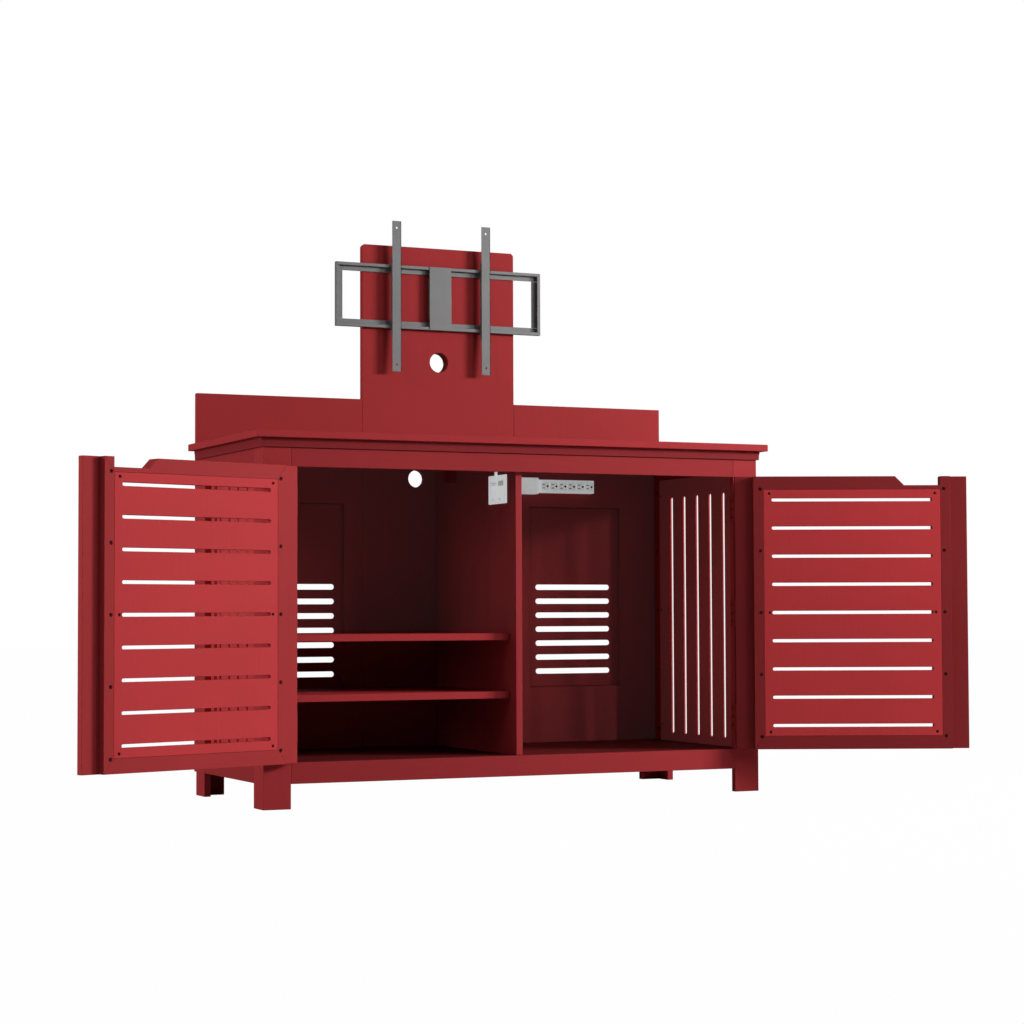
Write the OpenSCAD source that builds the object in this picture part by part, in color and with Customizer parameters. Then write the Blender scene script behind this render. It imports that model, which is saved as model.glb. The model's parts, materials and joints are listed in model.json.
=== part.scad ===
// Outdoor entertainment center: a board-built cabinet with two slotted doors, a back
// splash, a screen board with a steel screen mount, shelves and a power strip.
// Millimetres, +Z up, front towards -Y. Both doors are drawn open, as they rest.

/* [Cabinet] */
// Width of the body over its legs
body_w = 1472; // [1360:1:1600]
// Depth of the body over its legs, without the back boards
body_d = 580; // [540:1:680]
// Height from the ground to the upper face of the worktop
worktop_height = 980; // [940:1:1060]
// Thickness of the structural boards
board_t = 19; // [17:0.5:21]
// Width of a leg, seen from the front and from the side
leg_w = 76; // [60:1:90]
// Height from the ground to the underside of the bottom rails
ground_clearance = 65; // [45:1:90]
// Height of the bottom rails
bottom_rail_h = 55; // [45:1:70]
// Height of the top rails
top_rail_h = 50; // [40:1:65]
// Height of the moulding under the worktop
moulding_h = 24; // [18:1:30]
// How far the moulding stands proud of the rails
moulding_proud = 7.5; // [5:0.5:14]
// Overhang of the worktop at each side
worktop_side_overhang = 26; // [15:1:40]
// Overhang of the worktop at the front
worktop_front_overhang = 24; // [15:1:40]

/* [Back] */
// Height of the back splash above the worktop
splash_rise = 146; // [100:1:200]
// Height of the screen board above the worktop
screen_board_rise = 599; // [570:1:680]
// Width of the screen board
screen_board_w = 483; // [420:1:540]
// Sideways offset of the screen board from the middle of the body
screen_board_offset = 3; // [0:1:10]
// Cut corners of the screen board
screen_board_chamfer = 7; // [2:1:20]
// Height of the stiffener behind the screen board
stiffener_h = 640; // [600:1:660]
// Radius of the upper cable hole
upper_hole_r = 29; // [20:1:34]
// Height of the upper cable hole above the worktop
upper_hole_rise = 262; // [220:1:290]
// Radius of the lower cable hole
lower_hole_r = 25; // [18:1:26]
// Distance of the lower cable hole below the worktop's underside
lower_hole_drop = 63; // [63:1:90]
// Distance of the lower cable hole to the left of the divider's middle
lower_hole_left = 70; // [50:1:120]
// Distance from the body's side to an access hatch
hatch_side = 139; // [125:1:150]
// Distance from the screen board to an access hatch
hatch_inner = 52; // [50:1:75]
// Distance from the floor board to a hatch's lower edge
hatch_foot = 166; // [130:1:180]
// Distance from a hatch's upper edge to the level of the front rail's underside
hatch_head = 67; // [50:1:90]
// Thickness of a hatch
hatch_t = 6; // [6:0.5:12]
// Gap round a hatch
hatch_gap = 1.5; // [0.5:0.5:3]
// Number of vent slots in a hatch
vent_count = 7; // [4:1:8]
// Height of a vent slot
vent_h = 16; // [10:1:20]
// Distance from one vent slot to the next
vent_pitch = 41.8; // [36:0.1:44]
// Distance from a hatch's outer edge to its vent slots
vent_side = 28; // [25:1:45]
// Distance from a hatch's inner edge to its vent slots
vent_inner = 24; // [15:1:40]
// Distance from a hatch's lower edge to its lowest vent slot's middle
vent_foot = 45; // [30:1:60]

/* [Doors] */
// Opening angle of the left door at rest
left_open = 161; // [120:1:175]
// Opening angle of the right door at rest
right_open = 156; // [120:1:175]
// Gap between a leg and its door
hinge_gap = 4; // [3.8:0.1:5]
// Gap between the two closed doors
meeting_gap = 2; // [1:0.5:6]
// Gap above and below a door
door_gap = 1; // [1:0.5:5]
// Width of a door's outer stiles
stile_w = 100; // [96:1:101]
// Height of a door's outer rails
door_rail_h = 58; // [50:1:60]
// Distance from a door's edge to its inner border
border_inset = 50; // [44:1:54]
// Width of the inner border's sides
border_side_w = 28; // [24:1:30]
// Height of the inner border's top and bottom
border_rail_h = 37; // [32:1:42]
// Number of slots in a door panel
door_slot_count = 9; // [5:1:10]
// Distance from a door's inner border to the ends of its slots
door_slot_side = 23.5; // [22.5:0.5:60]
// Height of a door slot
door_slot_h = 9; // [8:0.1:16]
// Distance from a door's top to its first slot's middle
door_slot_end = 66; // [66:0.5:80]
// Depth of the finger notch in a door's top
notch_depth = 25.5; // [15:0.5:30]
// Length of the finger notch along its bottom
notch_len = 102; // [80:1:140]

/* [Side panels] */
// Thickness of the side panels
side_panel_t = 12.7; // [10:0.1:16]
// Thickness left where a side panel is thinned round its slots
side_web_t = 5; // [3:0.5:7]
// How far a side panel laps over the legs and the top rail
side_lap = 18; // [14:1:22]
// Number of slots in a side panel
side_slot_count = 5; // [3:1:5]
// Width of a side slot
side_slot_w = 14; // [10:1:24]
// Distance from a side panel's thinned part to its first slot's middle
side_slot_edge = 31; // [20:1:45]
// Width of the battens that hold a side panel
batten_w = 28; // [22:1:30]

/* [Shelves] */
// Height of the upper shelf's top above the floor board
upper_shelf_rise = 330; // [300:1:400]
// Height of the lower shelf's top above the floor board
lower_shelf_rise = 172; // [120:1:220]
// Distance from the front of the body to a shelf's front edge
shelf_setback = 56; // [48:1:80]
// Gap behind a shelf
shelf_back_gap = 10; // [4:1:30]
// Radius of a shelf pin
shelf_pin_r = 2.5; // [2:0.1:3]
// How far a shelf pin stands out of its hole
shelf_pin_out = 10; // [6:1:14]

/* [Screen mount] */
// Width of the mount's rail frame
mount_w = 650; // [600:1:760]
// Height of the mount's rail frame
mount_h = 186; // [170:1:220]
// Height of the rail frame's middle above the worktop
mount_rise = 448; // [430:1:460]
// Distance from the screen board to the front of the rails
mount_standoff = 18; // [16:0.5:24]
// Width of the mount frame's flange on the back
channel_w = 23; // [18:1:30]
// Depth of the mount frame
channel_d = 15; // [12:0.5:16]
// Sheet thickness of the mount frame and the arms
steel_t = 2; // [1.5:0.1:2.5]
// Width of the mount frame's lip on the front
channel_lip_w = 9; // [7:0.5:12]
// Width of the mount's middle plate
plate_w = 69; // [60:1:100]
// Length of an arm
arm_len = 440; // [420:1:520]
// Width of an arm
arm_w = 28; // [24:1:34]
// Depth of an arm along the mount frame
arm_d = 11; // [9:0.5:14]
// Depth of an arm at its ends
arm_tip_d = 4; // [3:0.5:8]
// Distance between the middles of the two arms
arm_spacing = 284; // [200:1:320]
// Radius of a screen bolt's hole in an arm
screen_hole_r = 3.2; // [2.5:0.1:4.3]
// Distance from an arm's end to its screen bolt hole
screen_hole_end = 20; // [15:1:60]

/* [Power] */
// Length of the power strip's socket part
strip_len = 187; // [184:1:240]
// Height of the power strip's socket part
strip_h = 39; // [35:1:45]
// Depth of the power strip's socket part
strip_d = 28; // [22:1:34]
// Length of the power strip's head
strip_head_len = 75; // [60:1:100]
// Height of the power strip's head
strip_head_h = 48; // [46:1:56]
// Depth of the power strip's head
strip_head_d = 42; // [34:1:50]
// Distance of the power strip's middle below the worktop's underside
strip_drop = 78; // [70:1:95]
// Distance from the divider's middle to the power strip's head
strip_offset = 236; // [226:1:266]
// Number of sockets
socket_count = 6; // [2:1:6]
// Distance from one socket to the next
socket_pitch = 29.3; // [28:0.1:30]
// Length of the control box, front to back
box_len = 117; // [100:1:140]
// Height of the control box
box_h = 79; // [60:1:100]
// Thickness of the control box
box_t = 4; // [3:0.5:12]

/* [Hidden] */
$fn = 32;

// Cutting tools reach this far past the face that they cut
overrun = 1;
// Hairline between two boards that meet in one group
seam = 0.4;
// Gap between the divider and the closed doors
divider_gap = 1;
// Gap at each end of a shelf
shelf_end_gap = 0.5;

// Heights of the main levels
rear_rail_h = 36;
rail_foot_z = ground_clearance;
floor_z = ground_clearance + bottom_rail_h;
worktop_under_z = worktop_height - board_t;
rail_top_z = worktop_under_z - moulding_h;
rail_under_z = rail_top_z - top_rail_h;
mid_x = body_w / 2;
splash_height = worktop_height + splash_rise;
screen_board_height = worktop_height + screen_board_rise;
upper_hole_z = worktop_height + upper_hole_rise;
lower_hole_z = worktop_under_z - lower_hole_drop;
mount_z = worktop_height + mount_rise;
strip_z = worktop_under_z - strip_drop;
back_y = body_d + board_t;
side_in_x = board_t + side_panel_t;

// Doors, drawn closed with the hinge axis at x = 0, y = 0
knuckle_r = 4;
hinge_x = leg_w + hinge_gap / 2;
hinge_y = -knuckle_r;
leaf_x = hinge_gap / 2;
leaf_y = knuckle_r;
leaf_w = mid_x - leg_w - hinge_gap - meeting_gap / 2;
leaf_z = floor_z + door_gap;
leaf_top_z = rail_under_z - door_gap;
leaf_h = leaf_top_z - leaf_z;
border_y = leaf_y + board_t;
door_slot_pitch = (leaf_h - 2 * door_slot_end) / (door_slot_count - 1);
notch_end = border_inset + border_side_w;
door_slot_len = leaf_w - 2 * notch_end - 2 * door_slot_side;

// Hinges
hinge_count = 3;
hinge_len = 76;
hinge_end = 90;
hinge_knuckles = 5;
hinge_leaf_t = 1.5;
hinge_leaf_w = 17;
hinge_pin_r = 2;
hinge_pin_head_r = 3.4;
hinge_pin_head_h = 1.6;
pin_clearance = 0.05;
knuckle_gap = 0.3;
knuckle_clearance = 0.4;
knuckle_pitch = hinge_len / hinge_knuckles;
hinge_screw_r = 1.9;
hinge_screw_head_r = 3.6;
hinge_screw_len = 16;
hinge_zs = [for (i = [0 : hinge_count - 1])
    leaf_z + hinge_end + i * (leaf_h - 2 * hinge_end) / (hinge_count - 1)];

// Screws
screw_clearance = 0.1;
big_screw_r = 2.2;
big_head_r = 5;
big_head_h = 2.4;
big_screw_count = 5;
big_screw_end = 35.5;
big_screw_shift = 5;
small_screw_r = 1.7;
small_head_r = 3.8;
small_head_h = 1.8;
small_screw_end = 48;
small_screw_side = 16;
small_screw_inset = border_inset + border_side_w + small_screw_side;
head_recess = 0.6;
big_tip_cover = 5;
small_tip_cover = 8;
door_big_len = 2 * board_t - big_tip_cover;
door_small_len = 2 * board_t - small_tip_cover;
small_screw_shares = [0, 0.5, 1];

// Side panels
side_panel_y0 = leg_w - side_lap;
side_panel_y1 = body_d - leg_w + side_lap;
side_panel_top = rail_under_z + side_lap;
pocket_margin = 28;
pocket_foot = 18;
side_slot_foot = 24;
side_slot_head = 36;
side_big_bite = 10;
side_small_bite = 8;
side_batten_screw_len = side_panel_t + side_big_bite;
side_small_screw_len = side_panel_t + side_small_bite;
small_screw_lap = 9;
side_slot_pitch = (body_d - 2 * (leg_w + pocket_margin + side_slot_edge)) / (side_slot_count - 1);

// Worktop cleats
cleat_w = 50;
cleat_drop = 80;
cleat_rear_gap = 105;
cleat_y = body_d - cleat_rear_gap - cleat_w;

// Shelves and pins
shelf_pin_depth = 9;
shelf_pin_inset = 27;
shelf_pin_y = side_panel_y0 + shelf_pin_inset;
shelf_pin_rear_y = side_panel_y1 - shelf_pin_inset;
shelf_rear_y = body_d - shelf_back_gap;

// Back
splash_seam_l = mid_x + screen_board_offset - screen_board_w / 2;
splash_seam_r = mid_x + screen_board_offset + screen_board_w / 2;
stiffener_inset = 22;
screen_x = mid_x + screen_board_offset;
hatch_w = mid_x - screen_board_w / 2 - screen_board_offset - hatch_side - hatch_inner;
hatch_z = floor_z + hatch_foot;
hatch_h = rail_under_z - hatch_head - hatch_z;
vent_len = hatch_w - vent_side - vent_inner;
hatch_batten_h = 32;
hatch_batten_t = 12;
hatch_batten_lap = 30;
hatch_batten_in = 22;
hatch_front_y = back_y - hatch_t;
back_screw_bite = 14;
back_screw_len = board_t + back_screw_bite;
back_screw_inset = board_t / 2;
back_screw_end = 60;
back_screw_count = 5;
stiffener_tip_cover = 6;
stiffener_screw_len = 2 * board_t - stiffener_tip_cover;
stiffener_screw_inset = 40;
stiffener_screw_count = 3;
batten_screw_bite = 12;
batten_screw_len = hatch_batten_t + batten_screw_bite;
hatch_screw_bite = 4;
hatch_screw_len = hatch_batten_t + hatch_screw_bite;

// Screen mount
mount_front_y = body_d - mount_standoff;
mount_l = mid_x - mount_w / 2;
mount_r = mid_x + mount_w / 2;
mount_lo = mount_z - mount_h / 2;
mount_hi = mount_z + mount_h / 2;
bracket_w = 60;
bracket_h = 120;
bracket_flange = 13;
lag_r = 3;
lag_head_r = 5;
lag_head_h = 3;
lag_len = 30;
arm_gap = 0.5;
arm_back_y = mount_front_y - arm_gap;
arm_front_y = arm_back_y - arm_d;
arm_bolt_r = 3;
arm_bolt_head_r = 7;
arm_bolt_head_h = 2.4;
arm_nut_r = 6.4;
arm_nut_h = 4;
arm_mid_z = mount_z;
screen_hole_span = arm_len - 2 * screen_hole_end;
arm_core_over = 22;
arm_core_h = mount_h + 2 * arm_core_over;
lip_gap = 0.6;
arm_bolt_in = channel_lip_w + lip_gap + arm_bolt_r;
hook_gap = 0.6;

// Power strip
strip_left_x = mid_x + strip_offset + strip_head_len;
strip_right_x = strip_left_x + strip_len;
strip_edge_r = 4;
strip_end = 17.5;
socket_w = 25;
socket_h = 27;
socket_proud = 0.8;
socket_floor_t = 5.5;
blade_w = 6.6;
blade_h = 1.7;
blade_gap = 10.6;
blade_depth = 9;
ground_r = 2.6;
ground_side = 8.2;
blade_side = 4.6;

// Control box
box_y = 74;
box_top_gap = 2;
box_top_z = rail_under_z - box_top_gap;
box_edge_r = 3;
box_tab_w = 14;
box_tab_h = 10;
box_tab_t = 3;
box_tab_y = 63;

// The origin: the middle of everything's footprint, on the ground
function turned(a, p) = [p[0] * cos(a) + p[1] * sin(a), -p[0] * sin(a) + p[1] * cos(a)];
door_corners = [[leaf_x, leaf_y], [leaf_x, border_y], [leaf_x + leaf_w, leaf_y],
    [leaf_x + leaf_w, border_y], [leaf_x + leaf_w - border_inset, border_y + board_t]];
left_corners = [for (p = door_corners) turned(left_open, p)];
right_corners = [for (p = door_corners) turned(right_open, p)];
low_x = min(concat([-worktop_side_overhang], [for (p = left_corners) hinge_x + p[0]]));
high_x = max(concat([body_w + worktop_side_overhang],
    [for (p = right_corners) body_w - hinge_x - p[0]]));
low_y = min(concat([-worktop_front_overhang],
    [for (p = concat(left_corners, right_corners)) hinge_y + p[1]]));
high_y = back_y + board_t;
origin_x = (low_x + high_x) / 2;
origin_y = (low_y + high_y) / 2;

// Colours
panel_red = [0.675, 0.212, 0.216];
frame_red = [0.58, 0.176, 0.184];
steel_grey = [0.5, 0.5, 0.5];
screw_black = [0.12, 0.09, 0.09];
hinge_red = [0.36, 0.11, 0.13];
strip_grey = [0.75, 0.75, 0.76];
socket_grey = [0.66, 0.66, 0.68];
box_white = [0.82, 0.82, 0.83];

// A box from one corner to the other
module slab(a, b) {
    translate(a) cube(b - a);
}

// The part's own frame: everything drawn inside stands over the origin
module placed() {
    translate([-origin_x, -origin_y, 0]) children();
}

// Draws a left-hand piece on the right side of the body
module mirrored_side() {
    translate([body_w, 0, 0]) mirror([1, 0, 0]) children();
}

// Puts a piece of the closed left door where the open door holds it
module on_door(right) {
    if (right)
        mirrored_side() translate([hinge_x, hinge_y, 0]) rotate([0, 0, -right_open]) children();
    else
        translate([hinge_x, hinge_y, 0]) rotate([0, 0, -left_open]) children();
}

// A slot with round ends in the x-z plane, cut through along y
module round_slot(len, h, y0, y1) {
    translate([0, y1, 0]) rotate([90, 0, 0]) linear_extrude(y1 - y0) {
        square([len - h, h], center = true);
        for (s = [-1, 1]) translate([s * (len - h) / 2, 0]) circle(h / 2);
    }
}

// A cylinder along y from y0 to y1
module rod_y(r, y0, y1) {
    translate([0, y1, 0]) rotate([90, 0, 0]) cylinder(r = r, h = y1 - y0);
}

// A screw along y whose head's face is at y = face and whose tip points towards -y
module screw_y(r, head_r, head_h, len, face) {
    rod_y(head_r, face - head_recess - head_h, face - head_recess);
    rod_y(r, face - head_recess - len, face - head_recess - head_h / 2);
}

// The hole that such a screw fills
module screw_hole_y(r, head_r, head_h, len, face) {
    rod_y(head_r + screw_clearance, face - head_recess - head_h - screw_clearance, face + overrun);
    rod_y(r + screw_clearance, face - head_recess - len - screw_clearance, face);
}

// A rod between two corners with rounded edges along x
module rounded_x(a, b, r) {
    size = b - a;
    translate(a) rotate([90, 0, 90]) linear_extrude(size[0])
        translate([r, r]) offset(r) square([size[1] - 2 * r, size[2] - 2 * r]);
}

// Legs
module leg_face(z1) {
    slab([0, 0, 0], [leg_w, board_t, z1]);
}

module leg_side() {
    slab([0, board_t, 0], [board_t, leg_w, rail_top_z]);
}

module front_left_leg_face() {
    color(frame_red) placed() difference() {
        leg_face(rail_top_z);
        leg_hinge_screw_holes();
    }
}

module front_left_leg_side() {
    color(frame_red) placed() difference() {
        leg_side();
        side_screw_holes();
    }
}

module front_right_leg_face() {
    color(frame_red) placed() mirrored_side() difference() {
        leg_face(rail_top_z);
        leg_hinge_screw_holes();
    }
}

module front_right_leg_side() {
    color(frame_red) placed() mirrored_side() difference() {
        leg_side();
        side_screw_holes();
    }
}

module rear_leg_side() {
    difference() {
        slab([0, body_d - leg_w, 0], [board_t, body_d, rail_top_z]);
        side_screw_holes();
        back_screw_holes();
    }
}

module rear_left_leg_side() {
    color(frame_red) placed() rear_leg_side();
}

module rear_right_leg_side() {
    color(frame_red) placed() mirrored_side() rear_leg_side();
}

module rear_leg_faces() {
    color(frame_red) placed() {
        slab([board_t, body_d - board_t, 0], [leg_w, body_d, floor_z - board_t]);
        mirrored_side() slab([board_t, body_d - board_t, 0], [leg_w, body_d, floor_z - board_t]);
    }
}

// Rails
module front_top_rail() {
    color(frame_red) placed()
        slab([leg_w, 0, rail_under_z], [body_w - leg_w, board_t, rail_top_z]);
}

module front_bottom_rail() {
    color(frame_red) placed()
        slab([leg_w, 0, rail_foot_z], [body_w - leg_w, board_t, floor_z]);
}

module rear_rails() {
    color(frame_red) placed() {
        slab([leg_w, body_d - board_t, rail_foot_z],
            [body_w - leg_w, body_d, floor_z - board_t]);
        for (x = [board_t, mid_x + board_t / 2])
            slab([x, body_d - board_t, worktop_under_z - rear_rail_h],
                [x + mid_x - board_t * 3 / 2, body_d, worktop_under_z]);
    }
}

module side_top_rail() {
    difference() {
        slab([0, leg_w, rail_under_z], [board_t, body_d - leg_w, rail_top_z]);
        side_screw_holes();
    }
}

module side_top_rails() {
    color(frame_red) placed() {
        side_top_rail();
        mirrored_side() side_top_rail();
    }
}

module side_bottom_rails() {
    color(frame_red) placed() {
        slab([0, leg_w, rail_foot_z], [board_t, body_d - leg_w, floor_z]);
        mirrored_side() slab([0, leg_w, rail_foot_z], [board_t, body_d - leg_w, floor_z]);
    }
}

// Side panels: a board behind the legs, thinned from outside and slotted
module side_panel() {
    slot_z0 = floor_z + side_slot_foot;
    slot_z1 = rail_under_z - side_slot_head;
    difference() {
        slab([board_t, side_panel_y0, floor_z], [side_in_x, side_panel_y1, side_panel_top]);
        slab([board_t - overrun, leg_w + pocket_margin, floor_z + pocket_foot],
            [side_in_x - side_web_t, body_d - leg_w - pocket_margin, rail_under_z - pocket_margin]);
        for (i = [0 : side_slot_count - 1])
            translate([side_in_x, body_d / 2 + (i - (side_slot_count - 1) / 2) * side_slot_pitch,
                (slot_z0 + slot_z1) / 2])
                rotate([0, 0, 90]) rotate([0, 90, 0])
                round_slot(slot_z1 - slot_z0, side_slot_w, -overrun, side_panel_t + overrun);
        side_screw_holes();
        shelf_pin_holes();
    }
}

module left_side_panel() {
    color(panel_red) placed() side_panel();
}

module right_side_panel() {
    color(panel_red) placed() mirrored_side() side_panel();
}

module side_batten_set() {
    z1 = side_panel_top + batten_w;
    difference() {
        union() {
            slab([board_t, side_panel_y0 - batten_w, floor_z],
                [side_in_x, side_panel_y0, side_panel_top]);
            slab([board_t, side_panel_y1, floor_z],
                [side_in_x, side_panel_y1 + batten_w, side_panel_top]);
            slab([board_t, side_panel_y0 - batten_w, side_panel_top + seam],
                [side_in_x, side_panel_y1 + batten_w, min(z1, rail_top_z)]);
        }
        side_screw_holes();
    }
}

module side_battens() {
    color(frame_red) placed() {
        side_batten_set();
        mirrored_side() side_batten_set();
    }
}

// Screws that go through a batten or a side panel into a leg: [y, z, big]
side_big_zs = [for (i = [0 : big_screw_count - 1]) floor_z + big_screw_end
    + i * (side_panel_top - floor_z - 2 * big_screw_end) / (big_screw_count - 1)];
side_big_ys = [side_panel_y0 - batten_w / 2, side_panel_y1 + batten_w / 2];
side_small_ys = [side_panel_y0 + small_screw_lap, side_panel_y1 - small_screw_lap];
side_small_zs = [for (s = small_screw_shares) floor_z + small_screw_end
    + s * (side_panel_top - floor_z - 2 * small_screw_end)];

module side_screw_holes() {
    for (y = side_big_ys, z = side_big_zs) translate([0, y, z]) rotate([0, 0, -90])
        screw_hole_y(big_screw_r, big_head_r, big_head_h, side_batten_screw_len, side_in_x);
    for (y = side_small_ys, z = side_small_zs) translate([0, y, z]) rotate([0, 0, -90])
        screw_hole_y(small_screw_r, small_head_r, small_head_h, side_small_screw_len, side_in_x);
}

module side_screws() {
    for (y = side_big_ys, z = side_big_zs) translate([0, y, z]) rotate([0, 0, -90])
        screw_y(big_screw_r, big_head_r, big_head_h, side_batten_screw_len, side_in_x);
    for (y = side_small_ys, z = side_small_zs) translate([0, y, z]) rotate([0, 0, -90])
        screw_y(small_screw_r, small_head_r, small_head_h, side_small_screw_len, side_in_x);
}

// Floor and divider
module floor_board() {
    color(panel_red) placed()
        slab([board_t, board_t, floor_z - board_t], [body_w - board_t, body_d, floor_z]);
}

module divider() {
    color(frame_red) placed() difference() {
        slab([mid_x - board_t / 2, board_t + divider_gap, floor_z],
            [mid_x + board_t / 2, body_d, worktop_under_z]);
        divider_pin_holes();
    }
}

module worktop_cleats() {
    color(frame_red) placed() for (x = [mid_x - board_t * 3 / 2, mid_x + board_t / 2])
        slab([x, cleat_y, worktop_under_z - cleat_drop],
            [x + board_t, cleat_y + cleat_w, worktop_under_z]);
}

// Shelves on pins
shelf_tops = [floor_z + upper_shelf_rise, floor_z + lower_shelf_rise];

module shelf(top_z) {
    color(panel_red) placed()
        slab([side_in_x + shelf_end_gap, shelf_setback, top_z - board_t],
            [mid_x - board_t / 2 - shelf_end_gap, shelf_rear_y, top_z]);
}

module upper_shelf() {
    shelf(shelf_tops[0]);
}

module lower_shelf() {
    shelf(shelf_tops[1]);
}

module pin_x(x0, x1, r) {
    translate([x0, 0, 0]) rotate([0, 90, 0]) cylinder(r = r, h = x1 - x0);
}

module each_pin() {
    for (y = [shelf_pin_y, shelf_pin_rear_y], z = shelf_tops)
        translate([0, y, z - board_t - shelf_pin_r]) children();
}

module shelf_pin_holes() {
    each_pin() pin_x(side_in_x - shelf_pin_depth, side_in_x + overrun,
        shelf_pin_r + pin_clearance);
}

module divider_pin_holes() {
    face = mid_x - board_t / 2;
    each_pin() pin_x(face - overrun, face + shelf_pin_depth, shelf_pin_r + pin_clearance);
}

module shelf_pins() {
    face = mid_x - board_t / 2;
    color(hinge_red) placed() each_pin() {
        pin_x(side_in_x - shelf_pin_depth, side_in_x + shelf_pin_out, shelf_pin_r);
        pin_x(face - shelf_pin_out, face + shelf_pin_depth, shelf_pin_r);
    }
}

// Worktop and moulding
module worktop() {
    color(panel_red) placed()
        slab([-worktop_side_overhang, -worktop_front_overhang, worktop_under_z],
            [body_w + worktop_side_overhang, body_d, worktop_height]);
}

module moulding_solid(points) {
    translate([0, 0, rail_top_z]) linear_extrude(moulding_h) polygon(points);
}

module front_moulding() {
    color(frame_red) placed() moulding_solid([
        [-moulding_proud, -moulding_proud], [body_w + moulding_proud, -moulding_proud],
        [body_w - board_t, board_t], [board_t, board_t]]);
}

module side_moulding() {
    moulding_solid([[-moulding_proud, -moulding_proud + seam],
        [board_t, board_t + seam], [board_t, body_d], [-moulding_proud, body_d]]);
}

module side_mouldings() {
    color(frame_red) placed() {
        side_moulding();
        mirrored_side() side_moulding();
    }
}

// Back boards with the openings that their hatches close
module hatch_opening() {
    slab([hatch_side - hatch_gap, body_d - overrun, hatch_z - hatch_gap],
        [hatch_side + hatch_w + hatch_gap, back_y + overrun, hatch_z + hatch_h + hatch_gap]);
}

module left_back() {
    difference() {
        slab([0, body_d, rail_foot_z], [splash_seam_l - seam, back_y, splash_height]);
        hatch_opening();
        back_screw_holes();
        batten_screw_holes();
    }
}

module left_back_board() {
    color(panel_red) placed() left_back();
}

module right_back_board() {
    color(panel_red) placed() difference() {
        slab([splash_seam_r + seam, body_d, rail_foot_z], [body_w, back_y, splash_height]);
        mirrored_side() {
            hatch_opening();
            back_screw_holes();
            batten_screw_holes();
        }
    }
}

// A hatch: a thin slotted board, level with the back boards' rear faces
module hatch() {
    difference() {
        slab([hatch_side, hatch_front_y, hatch_z],
            [hatch_side + hatch_w, back_y, hatch_z + hatch_h]);
        for (i = [0 : vent_count - 1])
            translate([hatch_side + vent_side + vent_len / 2, 0,
                hatch_z + vent_foot + i * vent_pitch])
                round_slot(vent_len, vent_h, hatch_front_y - overrun, back_y + overrun);
        hatch_screw_holes();
    }
}

module left_hatch() {
    color(panel_red) placed() hatch();
}

module right_hatch() {
    color(panel_red) placed() mirrored_side() hatch();
}

hatch_batten_zs = [hatch_z + hatch_batten_in - hatch_batten_h,
    hatch_z + hatch_h - hatch_batten_in];
batten_xs = [hatch_side - hatch_batten_lap / 2,
    hatch_side + hatch_w + hatch_batten_lap / 2];
hatch_screw_xs = [hatch_side + hatch_batten_lap, hatch_side + hatch_w - hatch_batten_lap];
hatch_screw_zs = [hatch_z + hatch_batten_in / 2, hatch_z + hatch_h - hatch_batten_in / 2];

module hatch_batten_pair() {
    for (z = hatch_batten_zs) difference() {
        slab([hatch_side - hatch_batten_lap, back_y, z],
            [hatch_side + hatch_w + hatch_batten_lap, back_y + hatch_batten_t,
                z + hatch_batten_h]);
        batten_screw_holes();
        hatch_screw_holes();
    }
}

module hatch_battens() {
    color(frame_red) placed() {
        hatch_batten_pair();
        mirrored_side() hatch_batten_pair();
    }
}

// Screws through the battens: the outer ones into a back board, the inner ones into a hatch
module batten_screw_holes() {
    for (x = batten_xs, z = hatch_screw_zs) translate([x, 0, z])
        screw_hole_y(small_screw_r, small_head_r, small_head_h, batten_screw_len,
            back_y + hatch_batten_t);
}

module hatch_screw_holes() {
    for (x = hatch_screw_xs, z = hatch_screw_zs) translate([x, 0, z])
        screw_hole_y(small_screw_r, small_head_r, small_head_h, hatch_screw_len,
            back_y + hatch_batten_t);
}

module hatch_screws() {
    for (x = batten_xs, z = hatch_screw_zs) translate([x, 0, z])
        screw_y(small_screw_r, small_head_r, small_head_h, batten_screw_len,
            back_y + hatch_batten_t);
    for (x = hatch_screw_xs, z = hatch_screw_zs) translate([x, 0, z])
        screw_y(small_screw_r, small_head_r, small_head_h, hatch_screw_len,
            back_y + hatch_batten_t);
}

// Screws through the back boards into the rear legs
module each_back_screw() {
    for (i = [0 : back_screw_count - 1]) translate([back_screw_inset, 0, rail_foot_z
        + back_screw_end + i * (rail_top_z - rail_foot_z - 2 * back_screw_end)
        / (back_screw_count - 1)]) children();
}

module back_screw_holes() {
    each_back_screw() screw_hole_y(big_screw_r, big_head_r, big_head_h,
        back_screw_len, back_y);
}

// The screen board and its stiffener
module cable_hole(z, x, r, y1) {
    translate([x, 0, z]) rod_y(r, body_d - overrun, y1 + overrun);
}

module board_outline(x0, x1, z0, y0, y1) {
    c = screen_board_chamfer;
    translate([0, y1, 0]) rotate([90, 0, 0]) linear_extrude(y1 - y0) polygon([
        [x0, z0], [x1, z0], [x1, screen_board_height - c], [x1 - c, screen_board_height],
        [x0 + c, screen_board_height], [x0, screen_board_height - c]]);
}

module screen_board() {
    color(panel_red) placed() difference() {
        board_outline(splash_seam_l, splash_seam_r, rail_foot_z, body_d, back_y);
        cable_hole(upper_hole_z, screen_x, upper_hole_r, back_y);
        cable_hole(lower_hole_z, mid_x - lower_hole_left, lower_hole_r, back_y);
        stiffener_screw_holes();
        lag_holes();
    }
}

module screen_board_stiffener() {
    color(frame_red) placed() difference() {
        board_outline(splash_seam_l + stiffener_inset, splash_seam_r - stiffener_inset,
            screen_board_height - stiffener_h, back_y, back_y + board_t);
        cable_hole(upper_hole_z, screen_x, upper_hole_r, back_y + board_t);
        stiffener_screw_holes();
        lag_holes();
    }
}

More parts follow.
